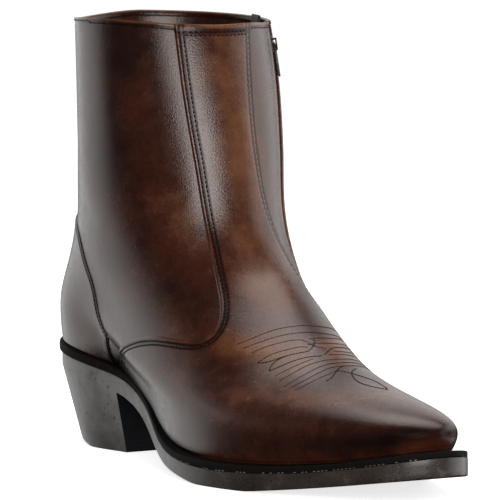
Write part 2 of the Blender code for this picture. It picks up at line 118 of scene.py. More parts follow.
LOOPS = (
    Loop(0.00, -2.0, 46.5, 286.0, 22.0, 29.5, 24.5, 31.0, 43.0, 21.0),
    Loop(0.07, -3.2, 53.0, 288.4, 31.6, 30.6, 28.5, 34.5, 45.5, 24.0),
    Loop(0.15, -3.3, 60.0, 265.5, 38.6, 30.6, 31.5, 36.2, 44.8, 25.0),
    Loop(0.24, -2.0, 69.0, 221.5, 45.4, 29.3, 34.0, 37.2, 42.0, 25.5),
    Loop(0.34, 2.4, 80.5, 190.0, 58.2, 27.5, 35.3, 37.8, 40.0, 24.5),
    Loop(0.44, 8.4, 92.0, 166.0, 72.0, 26.6, 36.0, 39.0, 38.2, 23.5),
    Loop(0.54, 14.0, 106.0, 148.0, 87.5, 26.5, 36.8, 40.4, 38.0, 22.5),
    Loop(0.64, 17.2, 121.0, 135.5, 107.5, 27.0, 38.0, 41.9, 38.4, 22.5),
    Loop(0.75, 18.8, 140.5, 129.5, 133.0, 27.0, 39.2, 43.8, 40.4, 23.0),
    Loop(0.87, 20.0, 167.0, 123.0, 162.5, 27.5, 39.3, 44.0, 41.5, 23.5),
    Loop(1.00, 20.0, 194.7, 113.0, 193.5, 27.5, 38.5, 42.5, 40.0, 23.5),
)
# Where along a loop, as a share of the way from back to front, the five half widths are measured.
STATIONS = (0.12, 0.29, 0.46, 0.68, 0.92)
BALL_SKEW = 0.04
SKEW_END = 0.6
SAG_END = 0.75
MIDDLE_LINE_X = (-10.0, 70.0, 130.0, 200.0, 300.0)
MIDDLE_LINE_Y = (0.0, -1.5, -3.0, -1.0, 6.0)
SHAFT_Y = 3.5
SHAFT_SHARE = 0.9
COLLAR_LIFT_RISE = 0.88


class CollarLift(NamedTuple):
    """A soft rise or dip of the collar: its turn, the cosine where it starts and its height."""

    turn: float
    start: float
    height: float


COLLAR_LIFTS = (
    CollarLift(75.0, 0.3, 2.8),
    CollarLift(-5.0, 0.8, 1.2),
    CollarLift(135.0, 0.5, -1.6),
    CollarLift(-115.0, 0.3, -0.7),
)


class SoleRow(NamedTuple):
    """One cross row of the sole: feather line, welt depth, underside, and reach of welt and outsole."""

    x: float
    feather_z: float
    welt: float
    under_z: float
    welt_reach: float
    sole_reach: float


SOLE = (
    SoleRow(-14.0, 47.2, 3.8, 36.8, 2.4, 1.0),
    SoleRow(30.0, 45.0, 3.8, 34.4, 2.4, 1.2),
    SoleRow(60.0, 41.0, 3.7, 30.2, 2.6, 1.8),
    SoleRow(76.0, 37.6, 3.5, 26.2, 3.0, 2.6),
    SoleRow(97.0, 30.4, 3.0, 19.4, 3.6, 3.5),
    SoleRow(112.0, 25.0, 2.8, 14.2, 4.1, 4.0),
    SoleRow(127.0, 19.6, 2.8, 9.6, 4.7, 4.6),
    SoleRow(145.0, 14.8, 2.9, 4.7, 5.3, 5.2),
    SoleRow(165.0, 12.2, 3.0, 1.7, 5.8, 5.7),
    SoleRow(190.0, 11.3, 3.2, -0.8, 6.5, 6.4),
    SoleRow(225.0, 12.6, 3.2, 1.6, 6.5, 6.4),
    SoleRow(260.0, 17.0, 3.1, 6.4, 7.2, 7.2),
    SoleRow(285.0, 21.8, 3.0, 10.4, 9.6, 9.8),
    SoleRow(315.0, 28.8, 3.0, 15.6, 12.4, 12.8),
)


class VampRow(NamedTuple):
    """One row of the vamp: its outer edge, its rise over the front and its inner edge."""

    outer_turn: float
    outer_rise: float
    front_rise: float
    inner_turn: float
    inner_rise: float


VAMP = (
    VampRow(116.5, EDGE_RISE, EDGE_RISE, -114.0, EDGE_RISE),
    VampRow(115.0, 0.070, 0.050, -113.0, 0.075),
    VampRow(104.0, 0.195, 0.110, -105.0, 0.165),
    VampRow(86.0, 0.297, 0.190, -84.0, 0.275),
    VampRow(66.0, 0.339, 0.270, -63.0, 0.340),
    VampRow(47.0, 0.353, 0.345, -50.0, 0.395),
    VampRow(33.5, 0.435, 0.430, -42.0, 0.450),
    VampRow(29.0, 0.520, 0.515, -34.5, 0.520),
    VampRow(27.0, 0.610, 0.605, -24.5, 0.605),
    VampRow(28.0, 0.700, 0.700, -16.0, 0.700),
    VampRow(30.5, 0.800, 0.800, -12.5, 0.800),
    VampRow(31.5, 0.900, 0.900, -14.5, 0.900),
    VampRow(31.0, PANEL_TOP, PANEL_TOP, -20.0, PANEL_TOP),
)


class CounterRow(NamedTuple):
    """One row of the counter: its rise at the sides and at the back, and its half turn."""

    side_rise: float
    back_rise: float
    half_turn: float


COUNTER = (
    CounterRow(EDGE_RISE, EDGE_RISE, 60.0),
    CounterRow(0.110, 0.110, 61.5),
    CounterRow(0.200, 0.200, 67.0),
    CounterRow(0.348, 0.360, 70.5),
    CounterRow(0.430, 0.460, 67.0),
    CounterRow(0.500, 0.525, 59.0),
    CounterRow(0.535, 0.560, 46.0),
)

ZIP_RISES = (0.0, 0.42, 0.60, 0.72, 0.85, 0.93, 1.0)
ZIP_TURNS = (-58.0, -52.0, -42.0, -42.0, -45.5, -49.0, -51.0)
ZIP_FOOT_RISE = 0.42
ZIP_HALF_WIDTH = 3.4


class Glow(NamedTuple):
    """A soft patch of lighter or darker burnish: its place, its reach and its strength."""

    turn: float
    rise: float
    turn_reach: float
    rise_reach: float
    amount: float


BURNISH_BASE = 0.42
GLOWS = (
    Glow(62.0, 0.96, 26.0, 0.10, -0.18),
    Glow(74.0, 0.76, 10.0, 0.10, -0.10),
    Glow(51.0, 0.775, 9.0, 0.06, 0.06),
    Glow(64.0, 0.63, 7.0, 0.06, -0.13),
    Glow(40.0, 0.63, 12.0, 0.06, 0.13),
    Glow(52.0, 0.47, 22.0, 0.045, -0.06),
    Glow(90.0, 0.38, 16.0, 0.06, -0.08),
    Glow(4.0, 0.80, 12.0, 0.25, 0.26),
    Glow(34.0, 0.335, 13.0, 0.035, 0.28),
    Glow(14.0, 0.32, 18.0, 0.05, 0.28),
    Glow(8.0, 0.50, 22.0, 0.06, 0.18),
    Glow(0.0, 0.20, 30.0, 0.05, 0.12),
    Glow(30.0, 0.19, 20.0, 0.035, 0.20),
    Glow(45.0, 0.055, 30.0, 0.03, -0.17),
    Glow(9.0, 0.043, 15.0, 0.022, 0.34),
    Glow(95.0, 0.10, 18.0, 0.07, -0.12),
    Glow(150.0, 0.20, 40.0, 0.12, -0.08),
    Glow(150.0, 0.70, 40.0, 0.20, -0.10),
)

# Patches with little gloss and a darker colour, painted shade: under the corner of the vamp, along the waist,
# and low on the toe.
SHADE_AND_DULL_PATCHES = (
    Glow(117.0, 0.02, 7.0, 0.05, 1.0),
    Glow(113.0, 0.070, 5.0, 0.050, 1.1),
    Glow(107.0, 0.025, 6.0, 0.030, 1.1),
    Glow(97.0, 0.0, 10.0, 0.036, 1.2),
    Glow(85.0, 0.0, 7.0, 0.022, 1.1),
    Glow(14.0, 0.056, 19.0, 0.026, 1.2),
)


class Crease(NamedTuple):
    """A soft trough or ridge in the leather: its two ends, its half width and its height in millimetres."""

    turn_a: float
    rise_a: float
    turn_b: float
    rise_b: float
    half_width: float
    height: float


CREASES = (
    Crease(98.0, 0.545, 52.0, 0.505, 9.0, -0.55),
    Crease(92.0, 0.475, 50.0, 0.455, 8.0, 0.40),
    Crease(64.0, 0.70, 38.0, 0.66, 10.0, -0.40),
    Crease(120.0, 0.60, 92.0, 0.585, 9.0, -0.45),
    Crease(122.0, 0.10, 98.0, 0.11, 14.0, 2.3),
    Crease(112.0, 0.03, 66.0, 0.03, 9.0, 1.5),
    Crease(-92.0, 0.52, -66.0, 0.50, 9.0, -0.50),
    Crease(-130.0, 0.60, -100.0, 0.58, 9.0, -0.40),
    Crease(24.0, 0.535, -24.0, 0.535, 8.0, -0.35),
    Crease(22.0, 0.475, -26.0, 0.48, 8.0, 0.35),
)
CREASE_STEPS = 25
# How far along its own half wave a crease begins, so that its ends aren't quite flat.
CREASE_END = 0.08


def spline(knots: Sequence[float], values: Sequence[float], at: Array) -> Array:
    """Natural cubic spline through the knots.

    Args:
        knots: Rising places of the values.
        values: One value at each knot.
        at: Places to read.

    Returns:
        The spline's values at those places.
    """
    x = np.asarray(knots, float)
    y = np.asarray(values, float)
    count = len(x)
    step = np.diff(x)
    slope = np.diff(y) / step
    matrix = np.eye(count)
    right = np.zeros(count)
    for i in range(1, count - 1):
        matrix[i, i - 1:i + 2] = step[i - 1], 2.0 * (step[i - 1] + step[i]), step[i]
        right[i] = 6.0 * (slope[i] - slope[i - 1])
    bend = np.linalg.solve(matrix, right)
    at = np.asarray(at, float)
    k = np.clip(np.searchsorted(x, at) - 1, 0, count - 2)
    after = x[k + 1] - at
    before = at - x[k]
    cubic = (bend[k] * after ** 3 + bend[k + 1] * before ** 3) / (6.0 * step[k])
    left_part = (y[k] / step[k] - bend[k] * step[k] / 6.0) * after
    right_part = (y[k + 1] / step[k] - bend[k + 1] * step[k] / 6.0) * before
    return cubic + left_part + right_part


def column(rows: Sequence[NamedTuple], name: str) -> list[float]:
    """One named column of a table."""
    return [getattr(row, name) for row in rows]


def smooth_step(value: Array) -> Array:
    """A soft step from 0 to 1 between 0 and 1."""
    clipped = np.clip(value, 0.0, 1.0)
    return clipped * clipped * (3.0 - 2.0 * clipped)


def hump(distance: Array, place: float, half_width: float) -> Array:
    """A soft hump of height 1 at a place."""
    return np.exp(-((distance - place) / half_width) ** 2)


def unit(vectors: Array) -> Array:
    """Vectors scaled to a length of 1 along their last axis."""
    return vectors / np.linalg.norm(vectors, axis=-1, keepdims=True)


def run_length(points: Array) -> Array:
    """The distance run along a line of points, from 0 at its first point.

    Args:
        points: Points in order.

    Returns:
        One distance for each point.
    """
    steps = np.linalg.norm(np.diff(points, axis=0), axis=-1)
    return np.concatenate([[0.0], np.cumsum(steps)])


def read_at(place: float, along: Array, values: Array) -> Array:
    """The vector at a distance along a line that has one at each of its points."""
    return np.array([np.interp(place, along, values[:, axis]) for axis in range(3)])


# The last: the upper's outer face and the sole's outlines, worked out from the tables


def loop_value(name: str, rise: Array) -> Array:
    """A column of the loop table at the given rises."""
    return spline(column(LOOPS, "rise"), column(LOOPS, name), rise)


def sole_value(name: str, x: Array) -> Array:
    """A column of the sole table at the given places."""
    return spline(column(SOLE, "x"), column(SOLE, name), x)


def roundness(share: Array, rise: Array) -> Array:
    """How wide a loop bulges at a share of its length.

    Args:
        share: Shares of the way from back to front.
        rise: Rises from 0 to 1.

    Returns:
        Half widths of a round loop.
    """
    knots = (0.0, *STATIONS, 1.0)
    total = np.zeros_like(share)
    for i, name in enumerate(("heel", "shank", "waist", "ball", "toe")):
        weights = np.zeros(len(knots))
        weights[i + 1] = 1.0
        weights[0] = 1.0 if i == 0 else 0.0
        weights[-1] = 1.0 if i == len(STATIONS) - 1 else 0.0
        chord = 2.0 * np.sqrt(STATIONS[i] * (1.0 - STATIONS[i]))
        total += spline(knots, weights, share) * loop_value(name, rise) / chord
    return total


def surface(turn: Array, rise: Array) -> Array:
    """Points of the upper's outer face.

    Args:
        turn: Turns in degrees.
        rise: Rises from 0 to 1.

    Returns:
        Points in millimetres, with a last axis of three.
    """
    turn, rise = np.broadcast_arrays(np.radians(turn), np.asarray(rise, float))
    share = (1.0 + np.cos(turn)) / 2.0
    back_x = loop_value("back_x", rise)
    x = back_x + (loop_value("front_x", rise) - back_x) * share
    back_z = loop_value("back_z", rise)
    chord_z = back_z + (loop_value("front_z", rise) - back_z) * share
    foot = LOOPS[0]
    foot_x = foot.back_x + (foot.front_x - foot.back_x) * share
    foot_z = foot.back_z + (foot.front_z - foot.back_z) * share
    sag = np.clip(1.0 - rise / SAG_END, 0.0, 1.0) ** 2
    z = chord_z + (sole_value("feather_z", foot_x) - foot_z) * sag
    near_collar = smooth_step((rise - COLLAR_LIFT_RISE) / (1.0 - COLLAR_LIFT_RISE))
    for lift in COLLAR_LIFTS:
        facing = smooth_step((np.cos(turn - np.radians(lift.turn)) - lift.start) / (1.0 - lift.start))
        z = z + lift.height * near_collar * facing
    side = np.sign(np.sin(turn))
    skew = BALL_SKEW * np.clip(1.0 - rise / SKEW_END, 0.0, 1.0) * np.sin(np.pi * share) ** 2
    half_width = roundness(np.clip(share + side * skew, 0.0, 1.0), rise) * np.abs(np.sin(turn))
    shaft = np.clip(rise / SAG_END, 0.0, 1.0)
    middle = spline(MIDDLE_LINE_X, MIDDLE_LINE_Y, x) * (1.0 - SHAFT_SHARE * shaft) + SHAFT_Y * shaft
    return np.stack([x, middle - side * half_width, z], axis=-1)


def normal(turn: Array, rise: Array) -> Array:
    """Outward unit normals of the upper's outer face.

    Args:
        turn: Turns in degrees.
        rise: Rises from 0 to 1.

    Returns:
        Normals, with a last axis of three.
    """
    rise = np.asarray(rise, float)
    low = np.clip(rise - RISE_STEP, 0.0, 1.0 - 2.0 * RISE_STEP)
    high = np.clip(rise + RISE_STEP, 2.0 * RISE_STEP, 1.0)
    along = surface(turn, high) - surface(turn, low)
    around = surface(turn + TURN_STEP, rise) - surface(turn - TURN_STEP, rise)
    return unit(np.cross(along, around))


def skin(turn: Array, rise: Array, offset: Array) -> Array:
    """Points at a distance outside the upper's outer face."""
    turn, rise, offset = np.broadcast_arrays(turn, np.asarray(rise, float), offset)
    return surface(turn, rise) + offset[..., None] * normal(turn, rise)


def zip_turn(rise: Array) -> Array:
    """The turn of the zip's middle line."""
    return spline(ZIP_RISES, ZIP_TURNS, rise)


def half_turn_for(width: float, rise: Array) -> Array:
    """The turn, in degrees, that spans a width along the zip's loop.

    Args:
        width: Width in millimetres.
        rise: Rises from 0 to 1.

    Returns:
        Turns in degrees.
    """
    middle = zip_turn(rise)
    step = surface(middle + 1.0, rise) - surface(middle, rise)
    return width / np.linalg.norm(step, axis=-1)


def outline(turn: Array, reach: Array | float) -> Array:
    """The feather line seen from above, moved outwards by a reach that may vary along it.

    Args:
        turn: Turns in degrees.
        reach: Reach in millimetres.

    Returns:
        Places in millimetres, with a last axis of two.
    """
    points = surface(turn, 0.0)[..., :2]
    ahead = surface(turn + TURN_STEP, 0.0) - surface(turn - TURN_STEP, 0.0)
    outwards = unit(np.stack([-ahead[..., 1], ahead[..., 0]], axis=-1))
    return points + outwards * np.asarray(reach)[..., None]


def edge_reach(turn: Array, name: str) -> Array:
    """How far the welt or the outsole reaches past the feather line."""
    return sole_value(name, surface(turn, 0.0)[..., 0])


def welt_top(x: Array) -> Array:
    """Height of the upper face of welt and rand."""
    return sole_value("feather_z", x) - GAP


def welt_bottom(x: Array) -> Array:
    """Height of the lower face of welt and rand."""
    return welt_top(x) - sole_value("welt", x)


def sole_bottom(x: Array) -> Array:
    """Height of the outsole's underside, flat on the floor under the ball."""
    return np.maximum(sole_value("under_z", x), 0.0)


def soft_form(turn: Array, rise: Array) -> Array:
    """Height of the listed creases that all the leathers share.

    Args:
        turn: Turns in degrees.
        rise: Rises from 0 to 1.

    Returns:
        Heights in millimetres.
    """
    turn, rise = np.broadcast_arrays(np.asarray(turn, float), np.asarray(rise, float))
    points = surface(turn, rise)
    total = np.zeros(turn.shape)
    share = np.linspace(0.0, 1.0, CREASE_STEPS)
    for crease in CREASES:
        line = surface(crease.turn_a + (crease.turn_b - crease.turn_a) * share,
                       crease.rise_a + (crease.rise_b - crease.rise_a) * share)
        nearest = np.full(turn.shape, 1e9)
        fade = np.zeros(turn.shape)
        for place, spot in zip(share, line):
            distance = np.linalg.norm(points - spot, axis=-1)
            closer = distance < nearest
            nearest = np.where(closer, distance, nearest)
            wave = CREASE_END + (1.0 - 2.0 * CREASE_END) * place
            fade = np.where(closer, np.sin(np.pi * wave), fade)
        total += crease.height * fade * np.exp(-(nearest / crease.half_width) ** 2)
    return total


def patches(glows: Sequence[Glow], base: float, turn: Array, rise: Array) -> Array:
    """The sum of soft patches over a base, alike on both sides, held between 0 and 1.

    Args:
        glows: The patches.
        base: The value away from them.
        turn: Turns in degrees.
        rise: Rises from 0 to 1.

    Returns:
        Values from 0 to 1.
    """
    turn, rise = np.broadcast_arrays(np.asarray(turn, float), np.asarray(rise, float))
    folded = np.abs((turn + 180.0) % 360.0 - 180.0)
    total = np.full(turn.shape, base)
    for glow in glows:
        around = (folded - glow.turn) / glow.turn_reach
        up = (rise - glow.rise) / glow.rise_reach
        total += glow.amount * np.exp(-around ** 2 - up ** 2)
    return np.clip(total, 0.0, 1.0)


def burnish(turn: Array, rise: Array) -> Array:
    """How far the brown shows through the dark burnish, from 0 to 1."""
    return patches(GLOWS, BURNISH_BASE, turn, rise)


def shade_and_dullness(turn: Array, rise: Array) -> Array:
    """How far the leather has lost its gloss and is darkened as painted shade, from 0 to 1."""
    return patches(SHADE_AND_DULL_PATCHES, 0.0, turn, rise)


@dataclass
class Sheet:
    """A grid object on the bench, with the row and column of each vertex."""

    item: Item
    row: Array
    col: Array

    def paint(self, name: str, values: Array) -> None:
        """Store a value for each vertex as a named attribute."""
        layer = self.item.data.attributes.new(name, "FLOAT", "POINT")
        layer.data.foreach_set("value", values[self.row, self.col].astype(np.float32))

    def weigh(self, name: str, values: Array) -> None:
        """Store a value for each vertex as a vertex group.

        Args:
            name: The group's name.
            values: Weights, as rows and columns.
        """
        group = self.item.vertex_groups.new(name=name)
        for index, value in enumerate(values[self.row, self.col]):
            group.add([index], float(value), "REPLACE")


class Bench:
    """The modelling bench: primitives are added here, shaped and finished by operators."""

    @staticmethod
    def take(item: Item) -> None:
        """Select one object alone and make it active.

        Args:
            item: The object.
        """
        bpy.ops.object.select_all(action="DESELECT")
        item.select_set(True)
        bpy.context.view_layer.objects.active = item

    @staticmethod
    def name(item: Item, name: str) -> None:
        """Name an object and its mesh."""
        item.name = name
        item.data.name = name

    @staticmethod
    def grid(name: str, points: Array) -> Sheet:
        """A grid primitive with its vertices moved to given places.

        Args:
            name: The piece's name.
            points: Places in millimetres, as rows, columns and three.

        Returns:
            The new sheet.
        """
        rows, columns = points.shape[:2]
        bpy.ops.object.select_all(action="DESELECT")
        bpy.ops.mesh.primitive_grid_add(x_subdivisions=columns - 1, y_subdivisions=rows - 1, size=1.0)
        item = bpy.context.object
        Bench.name(item, name)
        flat = np.empty(len(item.data.vertices) * 3)
        item.data.vertices.foreach_get("co", flat)
        flat = flat.reshape(-1, 3)
        col = np.rint((flat[:, 0] + 0.5) * (columns - 1)).astype(int)
        row = np.rint((flat[:, 1] + 0.5) * (rows - 1)).astype(int)
        placed = (points[row, col] - MIDDLE) * MM
        item.data.vertices.foreach_set("co", placed.ravel())
        item.data.update()
        return Sheet(item, row, col)

    @staticmethod
    def weld(item: Item, closed: bool) -> None:
        """Merge the doubles of closed seams and poles, and turn a closed shell's faces outwards.

        Args:
            item: The object.
            closed: Whether it is a closed shell.
        """
        Bench.take(item)
        bpy.ops.object.mode_set(mode="EDIT")
        bpy.ops.mesh.select_all(action="SELECT")
        bpy.ops.mesh.remove_doubles(threshold=0.004 * MM)
        bpy.ops.mesh.dissolve_degenerate(threshold=0.001 * MM)
        if closed:
            bpy.ops.mesh.normals_make_consistent(inside=False)
        bpy.ops.object.mode_set(mode="OBJECT")

    @staticmethod
    def face_out(sheet: Sheet, normals: Array) -> None:
        """Turn an open sheet's faces to the side that the normals show.

        Args:
            sheet: The sheet.
            normals: Outward directions, as rows, columns and three.
        """
        mesh = sheet.item.data
        polygon = mesh.polygons[len(mesh.polygons) // 2]
        vertex = polygon.vertices[0]
        wanted = Vector(normals[sheet.row[vertex], sheet.col[vertex]])
        if polygon.normal.dot(wanted) < 0.0:
            mesh.flip_normals()

    @staticmethod
    def finish(item: Item, kind: str, **settings: object) -> None:
        """Add a modifier with its settings and apply it.

        Args:
            item: The object.
            kind: The modifier's type.
            settings: Its settings.
        """
        Bench.take(item)
        modifier = item.modifiers.new(kind.lower(), kind)
        for key, value in settings.items():
            setattr(modifier, key, value)
        bpy.ops.object.modifier_apply(modifier=modifier.name)

    @staticmethod
    def round_edges(item: Item, width: float, segments: int, angle: float) -> None:
        """Bevel the edges that are sharper than an angle."""
        Bench.finish(item, "BEVEL", width=width * MM, segments=segments, limit_method="ANGLE",
                     angle_limit=math.radians(angle), harden_normals=False)

    @staticmethod
    def shade(item: Item, angle: float) -> None:
        """Smooth shading with sharp edges past an angle."""
        Bench.take(item)
        bpy.ops.object.shade_smooth_by_angle(angle=math.radians(angle))

    @staticmethod
    def solid(name: str, points: Array, angle: float) -> Item:
        """A closed solid from the rows of its surface.

        Args:
            name: The piece's name.
            points: Places in millimetres, closed around.
            angle: Edges past it, in degrees, stay sharp.

        Returns:
            The piece.
        """
        item = Bench.grid(name, points).item
        Bench.weld(item, closed=True)
        Bench.shade(item, angle)
        return item

    @staticmethod
    def cube(size: Sequence[float], bevel: float = 0.0) -> Item:
        """A cube primitive shaped to a size in edit mode, with its edges cut where a bevel is given.

        Args:
            size: Its size along each axis.
            bevel: Width of the cut.

        Returns:
            The cube.
        """
        bpy.ops.object.select_all(action="DESELECT")
        bpy.ops.mesh.primitive_cube_add(size=1.0)
        item = bpy.context.object
        bpy.ops.object.mode_set(mode="EDIT")
        bpy.ops.mesh.select_all(action="SELECT")
        bpy.ops.transform.resize(value=tuple(size))
        if bevel > 0.0:
            bpy.ops.mesh.bevel(offset=bevel, segments=1)
        bpy.ops.object.mode_set(mode="OBJECT")
        return item

    @staticmethod
    def discard(item: Item) -> None:
        """Remove an object and its mesh.

        Args:
            item: The object.
        """
        mesh = item.data
        bpy.data.objects.remove(item)
        bpy.data.meshes.remove(mesh)

    @staticmethod
    def tree(item: Item) -> BVHTree:
        """A search tree of an object's faces."""
        return BVHTree.FromObject(item, bpy.context.evaluated_depsgraph_get())

    @staticmethod
    def hand_in(item: Item, slot: Slot, finishes: Sequence[Material],
                nodes: Sequence[str] = (), body: Body = Body.BOOT) -> Item:
        """Dress a finished piece and fasten it to the frame.

        Args:
            item: The piece.
            slot: The record's slot for the piece; not used.
            finishes: Its materials, in slot order.
            nodes: Nodes of the frame that it stands for.
            body: The body that it rides on.

        Returns:
            The piece.
        """
        item.data.materials.clear()
        for finish in finishes:
            item.data.materials.append(finish)
        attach(item, body.value)
        if nodes:
            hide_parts(*nodes)
        LOG.info("%s: %d faces", item.name, len(item.data.polygons))
        return item


@dataclass
class Stamp:
    """A small shape that is modelled once, in millimetres, and copied many times."""

    corners: Array
    faces: list[tuple[int, ...]]

    @classmethod
    def of(cls, item: Item) -> "Stamp":
        """Take the shape from a modelled object, which is then removed.

        Args:
            item: The modelled object.

        Returns:
            Its shape.
        """
        turned = item.matrix_world.to_3x3()
        corners = np.array([turned @ vertex.co for vertex in item.data.vertices])
        faces = [tuple(face.vertices) for face in item.data.polygons]
        Bench.discard(item)
        return cls(corners, faces)

    def copies(self, name: str, spots: Sequence[Array], axes: Sequence[Array], angle: float) -> Item:
        """One object of many copies.

        Args:
            name: The object's name.
            spots: The copies' places in metres.
            axes: The copies' three axes, as rows.
            angle: Edges past it, in degrees, stay sharp.

        Returns:
            The object.
        """
        corners = [spot + (self.corners @ turned) * MM for spot, turned in zip(spots, axes)]
        faces = []
        for copy in range(len(spots)):
            base = copy * len(self.corners)
            faces.extend(tuple(base + corner for corner in face) for face in self.faces)
        mesh = bpy.data.meshes.new(name)
        mesh.from_pydata(np.vstack(corners).tolist(), [], faces)
        item = bpy.data.objects.new(name, mesh)
        bpy.context.scene.collection.objects.link(item)
        Bench.weld(item, closed=True)
        Bench.shade(item, angle)
        return item


class Board:
    """A procedural material being wired: a Principled shader and what feeds it."""

    def __init__(self, name: str) -> None:
        """Start a material with a plain Principled shader.

        Args:
            name: The material's name.
        """
        self.material = bpy.data.materials.new(name)
        self.material.use_nodes = True
        self.tree = self.material.node_tree
        self.shader = self.tree.nodes["Principled BSDF"]
        self.places = self.tree.nodes.new("ShaderNodeTexCoord").outputs["Object"]

    def set(self, **values: object) -> None:
        """Set or link the shader's own sockets; an underscore stands for a space."""
        self.fill(self.shader, {name.replace("_", " "): value for name, value in values.items()})

    def fill(self, node: bpy.types.Node, inputs: dict[str | int, object]) -> bpy.types.Node:
        """Fill a node's inputs: a socket is linked, and a value is set.

        Args:
            node: The node.
            inputs: Sockets and values by the input's name or number.

        Returns:
            The node.
        """
        for name, value in inputs.items():
            if isinstance(value, Socket):
                self.tree.links.new(value, node.inputs[name])
            else:
                node.inputs[name].default_value = value
        return node

    def add(self, kind: str, inputs: dict[str | int, object]) -> bpy.types.Node:
        """Add a node of a type and fill its inputs."""
        return self.fill(self.tree.nodes.new("ShaderNode" + kind), inputs)

    def noise(self, scale: float, detail: float = 2.0, roughness: float = 0.5,
              distortion: float = 0.0, stretch: Triple | None = None) -> Socket:
        """A noise pattern on the object's own coordinates.

        Args:
            scale: Cells a metre.
            detail: Layers of finer noise.
            roughness: Their weight.
            distortion: How far it is warped.
            stretch: Scale along each axis.

        Returns:
            The pattern's output.
        """
        places = self.places
        if stretch is not None:
            places = self.add("Mapping", {"Vector": places, "Scale": stretch}).outputs["Vector"]
        node = self.add("TexNoise", {"Vector": places, "Scale": scale, "Detail": detail,
                                     "Roughness": roughness, "Distortion": distortion})
        return node.outputs["Fac"]

    def cells(self, scale: float, feature: str = "F1") -> Socket:
        """A pattern of small cells, as the distance from their middles.

        Args:
            scale: Cells a metre.
            feature: Which distance is read.

        Returns:
            The pattern's output.
        """
        node = self.add("TexVoronoi", {"Vector": self.places, "Scale": scale})
        node.feature = feature
        return node.outputs["Distance"]

    def waves(self, scale: float, direction: str, distortion: float = 0.0) -> Socket:
        """Straight bands along one axis.

        Args:
            scale: Bands by length.
            direction: The axis.
            distortion: How far they are warped.

        Returns:
            The pattern's output.
        """
        node = self.add("TexWave", {"Vector": self.places, "Scale": scale, "Distortion": distortion})
        node.bands_direction = direction
        return node.outputs["Fac"]

    def along(self, axis: str) -> Socket:
        """The place along one of the object's axes, in metres."""
        return self.add("SeparateXYZ", {"Vector": self.places}).outputs[axis]

    def attribute(self, name: str) -> Socket:
        """A value stored on the mesh.

        Args:
            name: The attribute's name.

        Returns:
            The value's output.
        """
        node = self.add("Attribute", {})
        node.attribute_name = name
        return node.outputs["Fac"]

    def mixed(self, first: Socket, second: Socket, share: float, shift: float) -> Socket:
        """The first value plus a share of the second and a shift.

        Args:
            first: The first value.
            second: The second value.
            share: The second one's share.
            shift: What is added.

        Returns:
            The sum's output.
        """
        times = self.add("Math", {0: second, 1: share, 2: shift})
        times.operation = "MULTIPLY_ADD"
        return self.add("Math", {0: first, 1: times.outputs[0]}).outputs[0]

    def ramp(self, value: Socket, stops: Sequence[tuple[float, Colour]]) -> Socket:
        """Colours along a value.

        Args:
            value: The value.
            stops: Places from 0 to 1 and their colours.

        Returns:
            The colour's output.
        """
        node = self.add("ValToRGB", {"Fac": value})
        elements = node.color_ramp.elements
        while len(elements) < len(stops):
            elements.new(0.5)
        for element, (place, colour) in zip(elements, stops):
            element.position = place
            element.color = (*colour, 1.0)
        return node.outputs["Color"]

    def range(self, value: Socket, low: float, high: float, to_low: float, to_high: float) -> Socket:
        """A value moved from one range to another, held inside it.

        Args:
            value: The value.
            low: Its lowest.
            high: Its highest.
            to_low: What the lowest becomes.
            to_high: What the highest becomes.

        Returns:
            The new value's output.
        """
        node = self.add("MapRange", {"Value": value, "From Min": low, "From Max": high,
                                     "To Min": to_low, "To Max": to_high})
        return node.outputs["Result"]

    def bump(self, value: Socket, depth: float, strength: float, under: Socket | None = None) -> Socket:
        """A bump, over another where one is given.

        Args:
            value: The height, from 0 to 1.
            depth: Depth in millimetres.
            strength: From 0 to 1.
            under: A bump that lies under this one.

        Returns:
            The normal's output.
        """
        node = self.add("Bump", {"Height": value, "Strength": strength, "Distance": depth * MM})
        if under is not None:
            self.tree.links.new(under, node.inputs["Normal"])
        return node.outputs["Normal"]


@dataclass(frozen=True)
class BurnishedLeather:
    """Glossy brown leather, burnished dark in soft patches, with a fine grain."""

    name: str = "burnished_leather"
    darkest: Colour = (0.0080, 0.0032, 0.0026)
    dark: Colour = (0.0210, 0.0060, 0.0038)
    red: Colour = (0.0530, 0.0142, 0.0076)
    brown: Colour = (0.1280, 0.0470, 0.0205)
    light: Colour = (0.2450, 0.1100, 0.0490)
    sheen: Colour = (1.0, 0.94, 0.90)
    roughness: float = 0.23

    def make(self) -> Material:
        """Wire the material.

        Returns:
            The material.
        """
        board = Board(self.name)
        cloud = board.noise(34.0, detail=3.0, roughness=0.55, distortion=0.4)
        mottle = board.noise(150.0, detail=3.0, roughness=0.6)
        speck = board.noise(900.0, detail=2.0, roughness=0.6)
        tone = board.mixed(board.attribute("burnish"), cloud, share=0.50, shift=-0.25)
        tone = board.mixed(tone, mottle, share=0.30, shift=-0.15)
        tone = board.mixed(tone, speck, share=0.22, shift=-0.11)
        # The attribute read here darkens the colour as painted shade, in grooves, along edges, under the
        # vamp's corner and along the waist, and turns the gloss down.
        shade_and_dull = board.attribute("shade_and_dull")
        tone = board.mixed(tone, shade_and_dull, share=-0.40, shift=0.0)
        stops = ((0.05, self.darkest), (0.28, self.dark), (0.48, self.red), (0.68, self.brown),
                 (0.98, self.light))
        board.set(Base_Color=board.ramp(tone, stops))
        board.set(Roughness=board.range(mottle, 0.3, 0.7, self.roughness - 0.04, self.roughness + 0.05))
        board.set(Specular_IOR_Level=board.range(shade_and_dull, 0.0, 1.0, 0.5, 0.015))
        grain = board.cells(1700.0, "SMOOTH_F1")
        fine = board.noise(2300.0, detail=2.0, roughness=0.6)
        under = board.bump(grain, depth=0.13, strength=0.45)
        board.set(Normal=board.bump(fine, depth=0.11, strength=0.6, under=under))
        board.set(Specular_Tint=(*self.sheen, 1.0), IOR=1.54)
        return board.material


